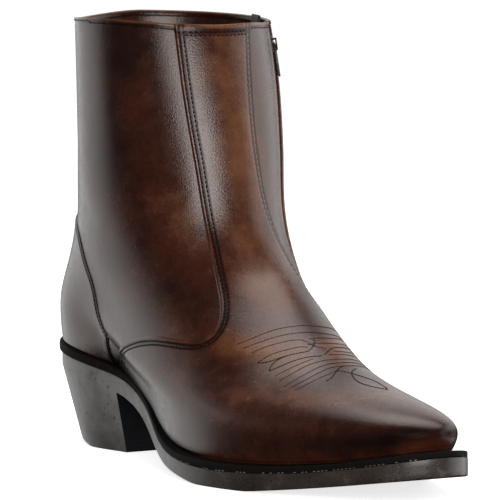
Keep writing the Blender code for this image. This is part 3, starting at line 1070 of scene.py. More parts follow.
@dataclass(frozen=True)
class EdgeDye:
    """Black dyed leather edge with short fibres; on the welt at the forepart the black is also painted shade,
    for the shadow between the upper and the welt.
    """

    name: str = "black_edge"
    colour: Colour = (0.0030, 0.0025, 0.0023)
    fibre: Colour = (0.0130, 0.0098, 0.0084)
    roughness: float = 0.75

    def make(self) -> Material:
        """Wire the material.

        Returns:
            The material.
        """
        board = Board(self.name)
        fuzz = board.noise(1300.0, detail=3.0, roughness=0.7)
        board.set(Base_Color=board.ramp(fuzz, ((0.45, self.colour), (0.78, self.fibre))))
        board.set(Roughness=board.range(fuzz, 0.3, 0.7, self.roughness - 0.08, self.roughness + 0.12))
        board.set(Normal=board.bump(fuzz, depth=0.35, strength=0.6))
        board.set(Specular_IOR_Level=0.12)
        return board.material


@dataclass(frozen=True)
class SoleStain:
    """Grey brown stained sole edge with pits and specks, darker close to the floor, paler to the heel."""

    name: str = "sole_stain"
    colour: Colour = (0.046, 0.036, 0.030)
    dark: Colour = (0.022, 0.016, 0.013)
    speck: Colour = (0.008, 0.006, 0.005)
    pale: Colour = (0.200, 0.190, 0.180)
    floor_shade: float = 0.0
    shank_shift: float = 0.0
    roughness: float = 0.36

    def make(self) -> Material:
        """Wire the material.

        Returns:
            The material.
        """
        board = Board(self.name)
        cloud = board.noise(60.0, detail=3.0, roughness=0.6)
        fibre = board.noise(700.0, detail=3.0, roughness=0.65, stretch=(1.0, 1.0, 2.2))
        pits = board.noise(420.0, detail=2.0, roughness=0.7)
        tone = board.mixed(cloud, fibre, share=0.35, shift=-0.17)
        if self.floor_shade > 0.0:
            near = board.range(board.along("Z"), 0.001, self.floor_shade * MM, -0.55, 0.0)
            tone = board.mixed(tone, near, share=1.0, shift=0.0)
        if self.shank_shift > 0.0:
            shank = board.range(board.along("X"), -0.070, 0.005, self.shank_shift, 0.0)
            tone = board.mixed(tone, shank, share=1.0, shift=0.0)
        tone = board.mixed(tone, board.range(pits, 0.63, 0.72, 0.0, -0.7), share=1.0, shift=0.0)
        board.set(Base_Color=board.ramp(tone, (
            (0.0, self.speck), (0.32, self.dark), (0.6, self.colour), (1.0, self.pale))))
        board.set(Roughness=board.range(fibre, 0.3, 0.7, self.roughness - 0.05, self.roughness + 0.08))
        under = board.bump(board.range(pits, 0.62, 0.74, 1.0, 0.0), depth=0.25, strength=0.6)
        board.set(Normal=board.bump(fibre, depth=0.12, strength=0.35, under=under))
        return board.material


@dataclass(frozen=True)
class PlainDye:
    """An even dyed surface with a fine grain, for lining, breast and thread."""

    name: str
    colour: Colour
    shade: Colour
    roughness: float
    grain: float
    depth: float
    shine: float = 0.5

    def make(self) -> Material:
        """Wire the material.

        Returns:
            The material.
        """
        board = Board(self.name)
        board.set(Specular_IOR_Level=self.shine)
        grain = board.noise(self.grain, detail=3.0, roughness=0.6)
        cloud = board.noise(45.0, detail=2.0, roughness=0.5)
        tone = board.mixed(cloud, grain, share=0.6, shift=-0.3)
        board.set(Base_Color=board.ramp(tone, ((0.3, self.shade), (0.7, self.colour))))
        board.set(Roughness=board.range(grain, 0.3, 0.7, self.roughness - 0.06, self.roughness + 0.06))
        board.set(Normal=board.bump(grain, depth=self.depth, strength=0.5))
        return board.material


@dataclass(frozen=True)
class WovenTape:
    """Black woven zip tape."""

    name: str = "woven_tape"
    colour: Colour = (0.018, 0.018, 0.019)
    shade: Colour = (0.006, 0.006, 0.006)

    def make(self) -> Material:
        """Wire the material.

        Returns:
            The material.
        """
        board = Board(self.name)
        weft = board.waves(300.0, "Z", distortion=0.6)
        warp = board.waves(300.0, "X", distortion=0.6)
        weave = board.mixed(weft, warp, share=0.5, shift=-0.1)
        board.set(Base_Color=board.ramp(weave, ((0.2, self.shade), (0.9, self.colour))))
        board.set(Normal=board.bump(weave, depth=0.2, strength=0.6))
        board.set(Roughness=0.85, Sheen_Weight=0.2)
        return board.material


@dataclass(frozen=True)
class AgedBrass:
    """Dark antique brass with worn high places."""
    # Dark antique brass, tarnished in a fine random pattern.

    name: str = "aged_brass"
    colour: Colour = (0.034, 0.027, 0.020)
    dark: Colour = (0.010, 0.008, 0.007)

    def make(self) -> Material:
        """Wire the material.

        Returns:
            The material.
        """
        board = Board(self.name)
        tarnish = board.noise(700.0, detail=3.0, roughness=0.6)
        board.set(Base_Color=board.ramp(tarnish, ((0.35, self.dark), (0.62, self.colour))))
        board.set(Roughness=board.range(tarnish, 0.3, 0.7, 0.45, 0.28))
        board.set(Normal=board.bump(tarnish, depth=0.05, strength=0.3))
        board.set(Metallic=1.0)
        return board.material


class Finishes:
    """The finishes of the boot, each made once."""

    def __init__(self) -> None:
        """Make every material."""
        self.leather = BurnishedLeather().make()
        self.black_edge = EdgeDye().make()
        self.sole = SoleStain(shank_shift=0.45).make()
        self.heel = SoleStain("heel_stain", colour=(0.205, 0.197, 0.188), dark=(0.120, 0.113, 0.106),
                              speck=(0.030, 0.027, 0.024), pale=(0.240, 0.232, 0.222),
                              floor_shade=26.0).make()
        self.breast = PlainDye("black_breast", (0.004, 0.005, 0.006), (0.002, 0.002, 0.003),
                               roughness=0.5, grain=500.0, depth=0.1, shine=0.12).make()
        self.lining = PlainDye("brown_lining", (0.016, 0.011, 0.010), (0.006, 0.004, 0.004),
                               roughness=0.75, grain=900.0, depth=0.3, shine=0.3).make()
        self.thread = PlainDye("dark_thread", (0.007, 0.005, 0.0045), (0.003, 0.002, 0.002),
                               roughness=0.85, grain=2500.0, depth=0.1, shine=0.1).make()
        self.pale_thread = PlainDye("pale_thread", (0.28, 0.215, 0.155), (0.10, 0.07, 0.05),
                                    roughness=0.8, grain=2500.0, depth=0.1, shine=0.2).make()
        # A lighter, glossier copy of the dark thread: painted highlight on the inner seam's stitches.
        self.highlit_thread = PlainDye("highlit_thread", (0.110, 0.070, 0.050), (0.040, 0.022, 0.016),
                                     roughness=0.35, grain=2500.0, depth=0.1).make()
        self.tape = WovenTape().make()
        self.brass = AgedBrass().make()


class Row(NamedTuple):
    """A row of sewing on a surface: places and outward normals, in metres, in order."""

    points: Array
    normals: Array


def sewn_row(tree: BVHTree, points: Array, lift: Array) -> Row:
    """Lay a line of places, in millimetres, on a finished surface.

    Args:
        tree: Search tree of the surface.
        points: Places near the surface.
        lift: Outward directions at those places.

    Returns:
        The row on the surface.
    """
    places = []
    normals = []
    for point, out in zip(points, lift):
        start = Vector((point + out * 2.0 - MIDDLE) * MM)
        hit, facing, _, _ = tree.find_nearest(start)
        places.append(hit)
        normals.append(facing)
    return Row(np.array(places), np.array(normals))


@dataclass
class Thread:
    """Stitches of one thread: their pitch, length and radius in millimetres."""

    name: str
    pitch: float = 2.2
    length: float = 1.9
    radius: float = 0.34
    sunk: float = 0.05
    missing: float = 0.0
    segments: int = 6
    rings: int = 4
    slope_reach: float = 0.4
    seed: int = 11

    def stitch(self) -> Stamp:
        """One stitch, modelled from a sphere.

        Returns:
            Its shape.
        """
        bpy.ops.object.select_all(action="DESELECT")
        bpy.ops.mesh.primitive_uv_sphere_add(segments=self.segments, ring_count=self.rings, radius=1.0,
                                             rotation=(0.0, math.pi / 2.0, 0.0))
        item = bpy.context.object
        bpy.ops.object.mode_set(mode="EDIT")
        bpy.ops.mesh.select_all(action="SELECT")
        size = (self.length / 2.0, self.radius, self.radius)
        bpy.ops.transform.resize(value=size, center_override=(0, 0, 0))
        bpy.ops.object.mode_set(mode="OBJECT")
        return Stamp.of(item)

    def sew(self, rows: Sequence[Row], finish: Material, slot: Slot) -> None:
        """Sew the rows and dress and fasten the stitches as one piece.

        Args:
            rows: The rows.
            finish: The thread's material.
            slot: The record's slot.
        """
        luck = np.random.default_rng(self.seed)
        spots = []
        axes = []
        for row in rows:
            along = run_length(row.points)
            count = max(int(along[-1] / (self.pitch * MM)), 1)
            reach = self.slope_reach * MM
            for place in (np.arange(count) + 0.5) * along[-1] / count:
                if luck.random() < self.missing:
                    continue
                front = read_at(place + reach, along, row.points)
                ahead = unit(front - read_at(place - reach, along, row.points))
                out = read_at(place, along, row.normals)
                out = unit(out - ahead * (out @ ahead))
                spots.append(read_at(place, along, row.points) - out * self.sunk * MM)
                axes.append(np.stack([ahead, np.cross(out, ahead), out]))
        item = self.stitch().copies(self.name, spots, axes, angle=60.0)
        Bench.hand_in(item, slot, [finish])


@dataclass
class Quarters:
    """The shaft and sides of the upper, one leather wall with its lining."""

    columns: int = 232
    low_rows: int = 112
    high_rows: int = 20
    high_from: float = 0.972
    row_points: int = 420
    fold_height: float = 0.22
    fold_place: float = 0.8
    fold_width: float = 0.7
    stitch_depth: float = 0.12
    stitch_place: float = 2.0
    stitch_width: float = 0.5
    stitch_end: float = 1.5
    # Painted shade in the groove of the collar's sewing: a darker colour and less gloss.
    stitch_shade_and_dull: float = 0.5
    lip: float = 0.40
    lip_place: float = 1.0
    lip_width: float = 0.9
    lip_run: float = 0.1
    # Painted highlight: a lighter tone along the lip at the slot's edge.
    lip_painted_highlight: float = 0.30
    collar_wear: float = 0.35
    wear_place: float = 0.4
    wear_width: float = 0.9
    slot_taper: float = 0.03
    collar_wall: float = 1.35
    taper_end: float = 13.0

    def rises(self) -> Array:
        """The rises of the rows, crowded at the collar."""
        low = np.linspace(0.0, 1.0, self.low_rows, endpoint=False) ** 1.1 * self.high_from
        return np.concatenate([low, np.linspace(self.high_from, 1.0, self.high_rows)])

    def grid(self) -> tuple[Array, Array]:
        """Turns and rises of the wall, from one edge of the zip's slot around to the other.

        Returns:
            Turns and rises, as rows and columns.
        """
        rise = self.rises()
        opening = smooth_step((rise - ZIP_FOOT_RISE) / self.slot_taper)
        half = half_turn_for(ZIP_HALF_WIDTH, rise) * opening
        share = np.linspace(0.0, 1.0, self.columns)
        first = zip_turn(rise) + 360.0 - half
        turn = first[:, None] - (360.0 - 2.0 * half[:, None]) * share
        return turn, np.broadcast_to(rise[:, None], turn.shape)

    def collar_distance(self, turn: Array, rise: Array) -> Array:
        """Distance below the collar in millimetres."""
        top = surface(turn, np.ones_like(rise))
        return np.linalg.norm(surface(turn, rise) - top, axis=-1)

    def slot_distance(self, turn: Array, rise: Array) -> Array:
        """Distance from the nearer edge of the zip's slot in millimetres.

        Args:
            turn: Turns in degrees.
            rise: Rises from 0 to 1.

        Returns:
            Distances, as rows and columns.
        """
        steps = np.linalg.norm(np.diff(surface(turn, rise), axis=1), axis=-1)
        along = np.concatenate([np.zeros((len(steps), 1)), np.cumsum(steps, axis=1)], axis=1)
        return np.minimum(along, along[:, -1:] - along)

    def build(self, finishes: Finishes) -> Item:
        """The wall with its folded collar and the row of holes under it.

        Args:
            finishes: The boot's finishes.

        Returns:
            The piece.
        """
        turn, rise = self.grid()
        below = self.collar_distance(turn, rise)
        fold = self.fold_height * hump(below, self.fold_place, self.fold_width)
        holes = self.stitch_depth * hump(below, self.stitch_place, self.stitch_width)
        lip = hump(self.slot_distance(turn, rise), self.lip_place, self.lip_width)
        lip = lip * smooth_step((rise - ZIP_FOOT_RISE) / self.lip_run)
        points = skin(turn, rise, soft_form(turn, rise) + fold + self.lip * lip - holes)
        sheet = Bench.grid("quarters", points)
        Bench.face_out(sheet, normal(turn, rise))
        # Worn brown at the collar's fold, and a painted highlight along the slot's lip.
        wear_and_lip_highlight = self.collar_wear * hump(below, self.wear_place, self.wear_width) + self.lip_painted_highlight * lip
        sheet.paint("burnish", np.clip(burnish(turn, rise) + wear_and_lip_highlight, 0.0, 1.0))
        # Painted shade in the groove of the collar's sewing, over the shared patches.
        shade_and_dull = shade_and_dullness(turn, rise) + self.stitch_shade_and_dull * hump(below, self.stitch_place, 0.6)
        sheet.paint("shade_and_dull", np.clip(shade_and_dull, 0.0, 1.0))
        thin = self.collar_wall / WALL
        sheet.weigh("wall", thin + (1.0 - thin) * smooth_step(below / self.taper_end))
        item = sheet.item
        Bench.weld(item, closed=False)
        Bench.finish(item, "SOLIDIFY", thickness=WALL * MM, offset=-1.0, vertex_group="wall",
                     use_even_offset=True, material_offset=1, material_offset_rim=0)
        item.vertex_groups.clear()
        Bench.round_edges(item, width=0.4, segments=2, angle=50.0)
        Bench.shade(item, angle=60.0)
        return Bench.hand_in(item, Slot.LEATHER, [finishes.leather, finishes.lining], ["upper"])

    def collar_row(self, tree: BVHTree, place: float) -> Row:
        """The sewing under the collar's fold, from one edge of the slot to the other.

        Args:
            tree: Search tree of the wall.
            place: Millimetres below the collar.

        Returns:
            The row.
        """
        rise = np.array(1.0 - place / RISE_LENGTH)
        half = float(half_turn_for(ZIP_HALF_WIDTH + self.stitch_end, rise))
        middle = float(zip_turn(rise))
        turn = np.linspace(middle + half, middle + 360.0 - half, self.row_points)
        return sewn_row(tree, surface(turn, rise), normal(turn, rise))


@dataclass
class LappedLeather:
    """A leather lapped over the quarters, with its edge worked by distance from its seams."""

    rest: float = 0.12
    near: int = 17
    reach: float = 8.0

    def at(self, place: Array, across: Array) -> tuple[Array, Array]:
        """Turns and rises at places along the rows and shares across them."""
        raise NotImplementedError

    def speeds(self, place: Array, step: float, square: bool) -> list[Array]:
        """How fast the rows leave the first and the second edge.

        Args:
            place: Places along the rows.
            step: The share over which it is measured.
            square: Whether only the way square to the edge counts.

        Returns:
            For each edge, millimetres for a whole share, row by row.
        """
        speeds = []
        for start, end in ((0.0, step), (1.0, 1.0 - step)):
            here = surface(*(value[:, 0] for value in self.at(place, np.array([[start]]))))
            there = surface(*(value[:, 0] for value in self.at(place, np.array([[end]]))))
            move = there - here
            if square:
                along = unit(np.gradient(here, axis=0))
                move -= along * np.sum(move * along, axis=1, keepdims=True)
            speeds.append(np.linalg.norm(move, axis=1) / step)
        return speeds

    def distances(self, points: Array, edge: Array) -> Array:
        """Distance of every grid point from an edge line, in millimetres.

        Args:
            points: Grid points in millimetres.
            edge: Points of the edge.

        Returns:
            Distances, as rows and columns.
        """
        tree = KDTree(len(edge))
        for index, place in enumerate(edge):
            tree.insert(place, index)
        tree.balance()
        flat = points.reshape(-1, 3)
        found = np.array([tree.find(place)[2] for place in flat])
        return found.reshape(points.shape[:2])

    def shares(self, speed_a: Array, speed_b: Array, middle: int) -> Array:
        """Shares across each row, crowded within a reach of both edges.

        Args:
            speed_a: Millimetres away from the first edge for a whole share, for each row.
            speed_b: The same from the second edge.
            middle: Columns between the two crowded zones.

        Returns:
            Shares from 0 to 1, as rows and columns.
        """
        steps = np.linspace(0.0, 1.0, self.near) ** 1.15 * self.reach
        rows = []
        for a, b in zip(speed_a, speed_b):
            left = steps / a
            right = 1.0 - steps[::-1] / b
            between = np.linspace(left[-1], right[0], middle + 2)[1:-1]
            rows.append(np.concatenate([left, between, right]))
        return np.stack(rows)

    def wall(self, name: str, turn: Array, rise: Array, height: Array,
             tone: Array, shade_and_dull: Array) -> Item:
        """A shell from the quarters up to a height that varies over the grid.

        Args:
            name: The piece's name.
            turn: Turns in degrees.
            rise: Rises from 0 to 1.
            height: Heights in millimetres.
            tone: How far the brown shows.
            shade_and_dull: Gloss lost and colour darkened as painted shade, beyond the shared patches.

        Returns:
            The piece.
        """
        base = soft_form(turn, rise)
        sheet = Bench.grid(name, skin(turn, rise, base + height))
        Bench.face_out(sheet, normal(turn, rise))
        sheet.paint("burnish", np.clip(tone, 0.0, 1.0))
        # Painted shade and lost gloss, from the shared patches and from this piece's own grooves and edges.
        sheet.paint("shade_and_dull", np.clip(shade_and_dullness(turn, rise) + shade_and_dull, 0.0, 1.0))
        depth = np.maximum(height - self.rest, 0.05)
        most = float(depth.max())
        sheet.weigh("wall", depth / most)
        item = sheet.item
        Bench.finish(item, "SOLIDIFY", thickness=most * MM, offset=-1.0, vertex_group="wall",
                     use_even_offset=False)
        item.vertex_groups.clear()
        Bench.shade(item, angle=50.0)
        return item


@dataclass
class Vamp(LappedLeather):
    """The front leather from toe to collar with its rolled edge and two rows of holes."""

    rows: int = 190
    middle: int = 104
    base: float = 1.3
    roll: float = 0.32
    roll_place: float = 1.05
    roll_width: float = 0.7
    outer_holes: tuple[float, float] = (2.4, 4.0)
    inner_holes: tuple[float, float] = (1.5, 3.6)
    top_holes: tuple[float, float] = (2.9, 4.2)
    hole_width: float = 0.5
    hole_depth: float = 0.16
    band: float = 2.0
    band_height: float = 0.40
    band_edge: float = 0.8
    band_wear: float = 0.22
    roll_wear: float = 0.05
    # Painted shade in the grooves of the rows of holes: a darker colour and less gloss.
    hole_shade_and_dull: float = 0.85
    edge_taper: tuple[float, float] = (0.60, 0.8)
    inner_taper: tuple[float, float] = (0.80, 6.0)
    top_turns: tuple[float, float] = (26.0, -14.5)
    top_points: int = 80
    row_start: int = 10
    row_ends: tuple[int, int] = (8, 14)

    def edges(self, place: Array) -> dict[str, Array]:
        """The table's columns at places counted in its rows."""
        return {name: spline(range(len(VAMP)), column(VAMP, name), place) for name in VampRow._fields}

    def at(self, place: Array, across: Array) -> tuple[Array, Array]:
        """Turns and rises at places along the rows and shares across them.

        Args:
            place: Places counted in rows of the table.
            across: Shares from 0 to 1.

        Returns:
            Turns and rises, as rows and columns.
        """
        edge = {name: value[:, None] for name, value in self.edges(place).items()}
        turn = edge["outer_turn"] + (edge["inner_turn"] - edge["outer_turn"]) * across
        straight = edge["outer_rise"] + (edge["inner_rise"] - edge["outer_rise"]) * across
        bow = edge["front_rise"] - (edge["outer_rise"] + edge["inner_rise"]) / 2.0
        return turn, np.clip(straight + bow * np.sin(np.pi * across), 0.0, PANEL_TOP)

    def places(self, count: int) -> Array:
        """Row places spaced evenly along the seam and the front.

        Args:
            count: How many.

        Returns:
            Places counted in rows of the table.
        """
        fine = np.linspace(0.0, len(VAMP) - 1.0, 1200)
        total = np.zeros(len(fine))
        for share in (0.0, 0.5, 1.0):
            turn, rise = self.at(fine, np.array([[share]]))
            line = surface(turn[:, 0], rise[:, 0])
            total += run_length(line)
        return np.interp(np.linspace(0.0, total[-1], count), total, fine)

    def seam(self, side: Side, count: int = 1500) -> tuple[Array, Array, Array]:
        """A side seam from the collar to the sole: places, outward normals and inward directions.

        Args:
            side: The side.
            count: How many points.

        Returns:
            Three lists of vectors along the seam.
        """
        place = self.places(count)[::-1]
        edge = self.edges(place)
        name = side.name.lower()
        turn = edge[name + "_turn"]
        rise = np.clip(edge[name + "_rise"], 0.0, PANEL_TOP)
        points = surface(turn, rise)
        normals = normal(turn, rise)
        inwards = np.cross(normals, unit(np.gradient(points, axis=0))) * side.value
        return points, normals, inwards

    def build(self, finishes: Finishes) -> Item:
        """The leather with its rolled seams and the band under the collar.

        Args:
            finishes: The boot's finishes.

        Returns:
            The piece.
        """
        place = self.places(self.rows)
        turn, rise = self.at(place, self.shares(*self.speeds(place, step=0.004, square=True), self.middle))
        points = surface(turn, rise)
        outer = self.distances(points, self.seam(Side.OUTER)[0])
        inner = self.distances(points, self.seam(Side.INNER)[0])
        below = np.linalg.norm(points - surface(turn, np.full_like(rise, PANEL_TOP)), axis=-1)
        holes = np.zeros_like(outer)
        pairs = ((outer, self.outer_holes), (inner, self.inner_holes), (below, self.top_holes))
        for distance, places in pairs:
            for hole in places:
                holes = np.maximum(holes, hump(distance, hole, self.hole_width))
        roll = self.roll * hump(outer, self.roll_place, self.roll_width)
        band = smooth_step((self.band - below) / self.band_edge)
        thin = [depth * (1.0 - smooth_step(distance / reach)) for distance, (depth, reach) in (
            (np.minimum(outer, below), self.edge_taper), (inner, self.inner_taper))]
        height = self.base + roll + self.band_height * band - self.hole_depth * holes - np.maximum(*thin)
        wear = self.roll_wear * hump(outer, 1.1, 0.8) + self.band_wear * band
        tone = burnish(turn, rise) + wear
        # The rows of holes get painted shade in their grooves.
        item = self.wall("vamp_leather", turn, rise, height, tone, self.hole_shade_and_dull * holes)
        return Bench.hand_in(item, Slot.LEATHER, [finishes.leather], ["vamp"])

    def seam_rows(self, tree: BVHTree, side: Side) -> list[Row]:
        """Two rows of sewing along a side seam.

        Args:
            tree: Search tree of the vamp.
            side: The side.

        Returns:
            The rows.
        """
        rows = []
        points, normals, inwards = self.seam(side, count=700)
        holes = self.outer_holes if side is Side.OUTER else self.inner_holes
        for place, end in zip(holes, self.row_ends):
            sewn = slice(self.row_start, -end)
            rows.append(sewn_row(tree, (points + inwards * place)[sewn], normals[sewn]))
        return rows

    def top_rows(self, tree: BVHTree) -> list[Row]:
        """Two rows of sewing under the band at the collar.

        Args:
            tree: Search tree of the vamp.

        Returns:
            The rows.
        """
        rows = []
        for place in self.top_holes:
            rise = np.full(self.top_points, PANEL_TOP - place / RISE_LENGTH)
            turn = np.linspace(*self.top_turns, self.top_points)
            rows.append(sewn_row(tree, surface(turn, rise), normal(turn, rise)))
        return rows


@dataclass
class Counter(LappedLeather):
    """The heel leather with one row of holes along its edge."""

    rows: int = 84
    middle: int = 70
    near: int = 12
    reach: float = 5.0
    base: float = 0.8
    holes: float = 0.95
    hole_depth: float = 0.08
    hole_width: float = 0.5
    edge_depth: float = 0.42
    edge_reach: float = 1.6
    # Painted shadow along the counter's edge: a darker tone and less gloss.
    painted_edge_shadow: float = 0.15
    edge_shadow_and_dull: float = 0.6
    crowding: float = 1.35
    row_end: int = 8
    probe: int = 40

    def at(self, place: Array, across: Array) -> tuple[Array, Array]:
        """Turns and rises at places along the rows and shares across them.

        Args:
            place: Places counted in rows of the table.
            across: Shares from 0 to 1.

        Returns:
            Turns and rises, as rows and columns.
        """
        side, back, half = (spline(range(len(COUNTER)), column(COUNTER, name), place)[:, None]
                            for name in CounterRow._fields)
        swing = 2.0 * across - 1.0
        return 180.0 + half * swing, side + (back - side) * np.cos(np.pi / 2.0 * swing)

    def places(self, count: int) -> Array:
        """Row places, crowded at the top."""
        share = np.linspace(0.0, 1.0, count)
        return (len(COUNTER) - 1.0) * (1.0 - (1.0 - share) ** self.crowding)

    def edge(self, count: int = 1200) -> tuple[Array, Array]:
        """Turns and rises of the edge, up one side, over the back and down the other.

        Args:
            count: How many points in each of the three stretches.

        Returns:
            Turns and rises.
        """
        place = self.places(count)
        last = np.full(count, len(COUNTER) - 1.0)
        up = self.at(place, np.array([[0.0]]))
        over = self.at(last[:1], np.linspace(0.0, 1.0, count)[None, :])
        down = self.at(place[::-1], np.array([[1.0]]))
        return (np.concatenate([up[0].ravel(), over[0].ravel(), down[0].ravel()]),
                np.concatenate([up[1].ravel(), over[1].ravel(), down[1].ravel()]))

    def build(self, finishes: Finishes) -> Item:
        """The leather with its thin edge and a painted shadow along it.

        Args:
            finishes: The boot's finishes.

        Returns:
            The piece.
        """
        place = self.places(self.rows)
        turn, rise = self.at(place, self.shares(*self.speeds(place, step=0.01, square=False), self.middle))
        points = surface(turn, rise)
        distance = self.distances(points, surface(*self.edge()))
        holes = self.hole_depth * hump(distance, self.holes, self.hole_width)
        edge = self.edge_depth * (1.0 - smooth_step(distance / self.edge_reach))
        # A painted shadow along the edge, where the counter laps the quarters.
        dark = hump(distance, 0.5, 0.7)
        item = self.wall("counter_leather", turn, rise, self.base - holes - edge,
                         burnish(turn, rise) - self.painted_edge_shadow * dark, self.edge_shadow_and_dull * dark)
        return Bench.hand_in(item, Slot.LEATHER, [finishes.leather], ["counter"])

    def rows_of_sewing(self, tree: BVHTree) -> list[Row]:
        """The row of sewing inside the edge.

        Args:
            tree: Search tree of the counter.

        Returns:
            The row, in a list.
        """
        turn, rise = self.edge(count=300)
        points = surface(turn, rise)
        normals = normal(turn, rise)
        inwards = np.cross(unit(np.gradient(points, axis=0)), normals)
        middle = surface(np.array(180.0), np.array(0.25))
        if np.sum(inwards[self.probe] * (middle - points[self.probe])) < 0.0:
            inwards = -inwards
        sewn = slice(self.row_end, -self.row_end)
        return [sewn_row(tree, (points + inwards * self.holes)[sewn], normals[sewn])]


@dataclass
class ToeStitching:
    """Traditional toe stitching on the vamp: rows across it, hooks and a leaf."""

    axis_x: tuple[float, float] = (170.0, 240.0)
    axis_y: tuple[float, float] = (5.0, 14.0)

    def thin_curves(self) -> list[Curve]:
        """The rows, as places along the toe line and out from it, the inner side positive.

        Returns:
            The curves.
        """
        return [
            [(173.2, -31.5), (176.2, -25.0), (177.6, -15.5), (178.0, -6.0), (177.2, 1.5), (174.8, 11.5),
             (166.0, 26.0)],
            [(177.0, -31.0), (179.8, -25.0), (181.6, -16.7), (182.4, -7.8), (182.0, 1.0), (179.6, 10.8),
             (172.0, 24.5)],
            [(181.6, -30.2), (183.7, -24.3), (185.5, -17.3), (186.8, -9.7), (189.1, -7.1), (192.0, -4.9),
             (192.8, 0.0)],
            [(186.9, -4.5), (186.1, -1.0), (184.1, 6.6), (179.7, 14.9), (174.4, 22.0), (168.5, 29.0)],
            [(187.7, -31.6), (188.4, -26.0), (190.2, -18.6), (191.0, -12.5), (192.2, -9.0)],
            [(190.6, -8.0), (189.8, -3.8), (188.7, 2.7), (185.7, 10.4), (180.4, 18.6), (173.5, 27.5)],
            [(193.8, 2.7), (191.9, 8.1), (188.8, 13.6), (183.6, 20.4), (177.0, 28.5)],
            [(197.5, -2.2), (196.1, 2.7), (192.3, 11.2), (187.9, 17.8), (181.5, 26.5)],
            [(200.0, -32.0), (200.6, -25.5), (200.4, -18.0), (199.8, -12.0)],
            [(204.5, -32.8), (204.2, -25.7), (203.0, -17.1), (201.9, -8.3), (200.5, -1.0), (198.5, 4.9),
             (194.8, 12.4), (191.3, 17.8), (185.5, 26.0)],
            [(209.8, -34.0), (208.9, -25.5), (206.6, -15.8), (204.3, -5.5), (202.0, 2.8), (197.8, 11.6),
             (194.2, 17.4), (188.5, 25.5)],
            [(213.2, -33.4), (212.5, -26.5), (210.5, -17.5), (208.2, -10.6), (206.7, -4.5), (205.5, 0.2),
             (203.3, 5.8), (199.2, 13.3), (194.0, 22.0)],
            [(216.4, -33.6), (216.2, -27.9), (214.5, -19.6), (212.8, -13.5), (210.9, -8.5), (211.4, -4.5),
             (213.4, -1.5)],
        ]

    def bold_curves(self) -> list[Curve]:
        """The hooks and the leaf, given in the same way.

        Returns:
            The curves.
        """
        return [
            [(187.7, -31.6), (191.0, -28.1), (193.2, -21.0), (194.5, -13.3), (193.6, -9.0), (190.0, -4.3),
             (186.9, -2.6)],
            [(195.4, -31.5), (196.7, -26.9), (197.6, -19.4), (198.2, -11.2), (198.4, -6.6)],
            [(197.7, -4.6), (194.3, -0.1), (191.4, 4.2), (188.6, 9.2), (185.3, 14.6), (181.0, 20.4),
             (175.5, 27.5)],
            [(218.4, -19.4), (216.6, -15.2), (212.1, -9.7), (207.6, -4.0), (205.5, 0.2)],
            [(195.4, -31.5), (193.8, -29.2), (192.9, -26.0), (193.2, -21.0)],
            [(234.4, 0.4), (232.0, -3.2), (227.9, -6.0), (222.9, -6.4), (217.0, -4.4), (212.0, -1.3),
             (208.6, 2.2), (205.8, 5.6)],
            [(234.4, 0.4), (229.5, 2.8), (223.0, 4.6), (218.0, 3.9), (213.4, -1.5)],
        ]

    def drawn(self, curve: Curve) -> Array:
        """A curve seen from above, in millimetres.

        Args:
            curve: The curve's own points.

        Returns:
            Points of a smooth curve through them.
        """
        knots = np.arange(len(curve))
        at = np.linspace(0.0, len(curve) - 1.0, 90)
        x = spline(knots, [place[0] for place in curve], at)
        out = spline(knots, [place[1] for place in curve], at)
        slope = (self.axis_y[1] - self.axis_y[0]) / (self.axis_x[1] - self.axis_x[0])
        y = self.axis_y[0] + (x - self.axis_x[0]) * slope + out
        return np.column_stack([x, y])

    def rows(self, tree: BVHTree, curves: Sequence[Curve]) -> list[Row]:
        """Curves dropped from above on the finished vamp.

        Args:
            tree: Search tree of the vamp.
            curves: The curves.

        Returns:
            One row for each curve.
        """
        rows = []
        for curve in curves:
            places = []
            normals = []
            for x, y in self.drawn(curve):
                start = Vector(((x - MIDDLE[0]) * MM, (y - MIDDLE[1]) * MM, 0.2))
                hit, facing, _, _ = tree.ray_cast(start, Vector((0.0, 0.0, -1.0)))
                if hit is not None:
                    places.append(hit)
                    normals.append(facing)
            rows.append(Row(np.array(places), np.array(normals)))
        return rows


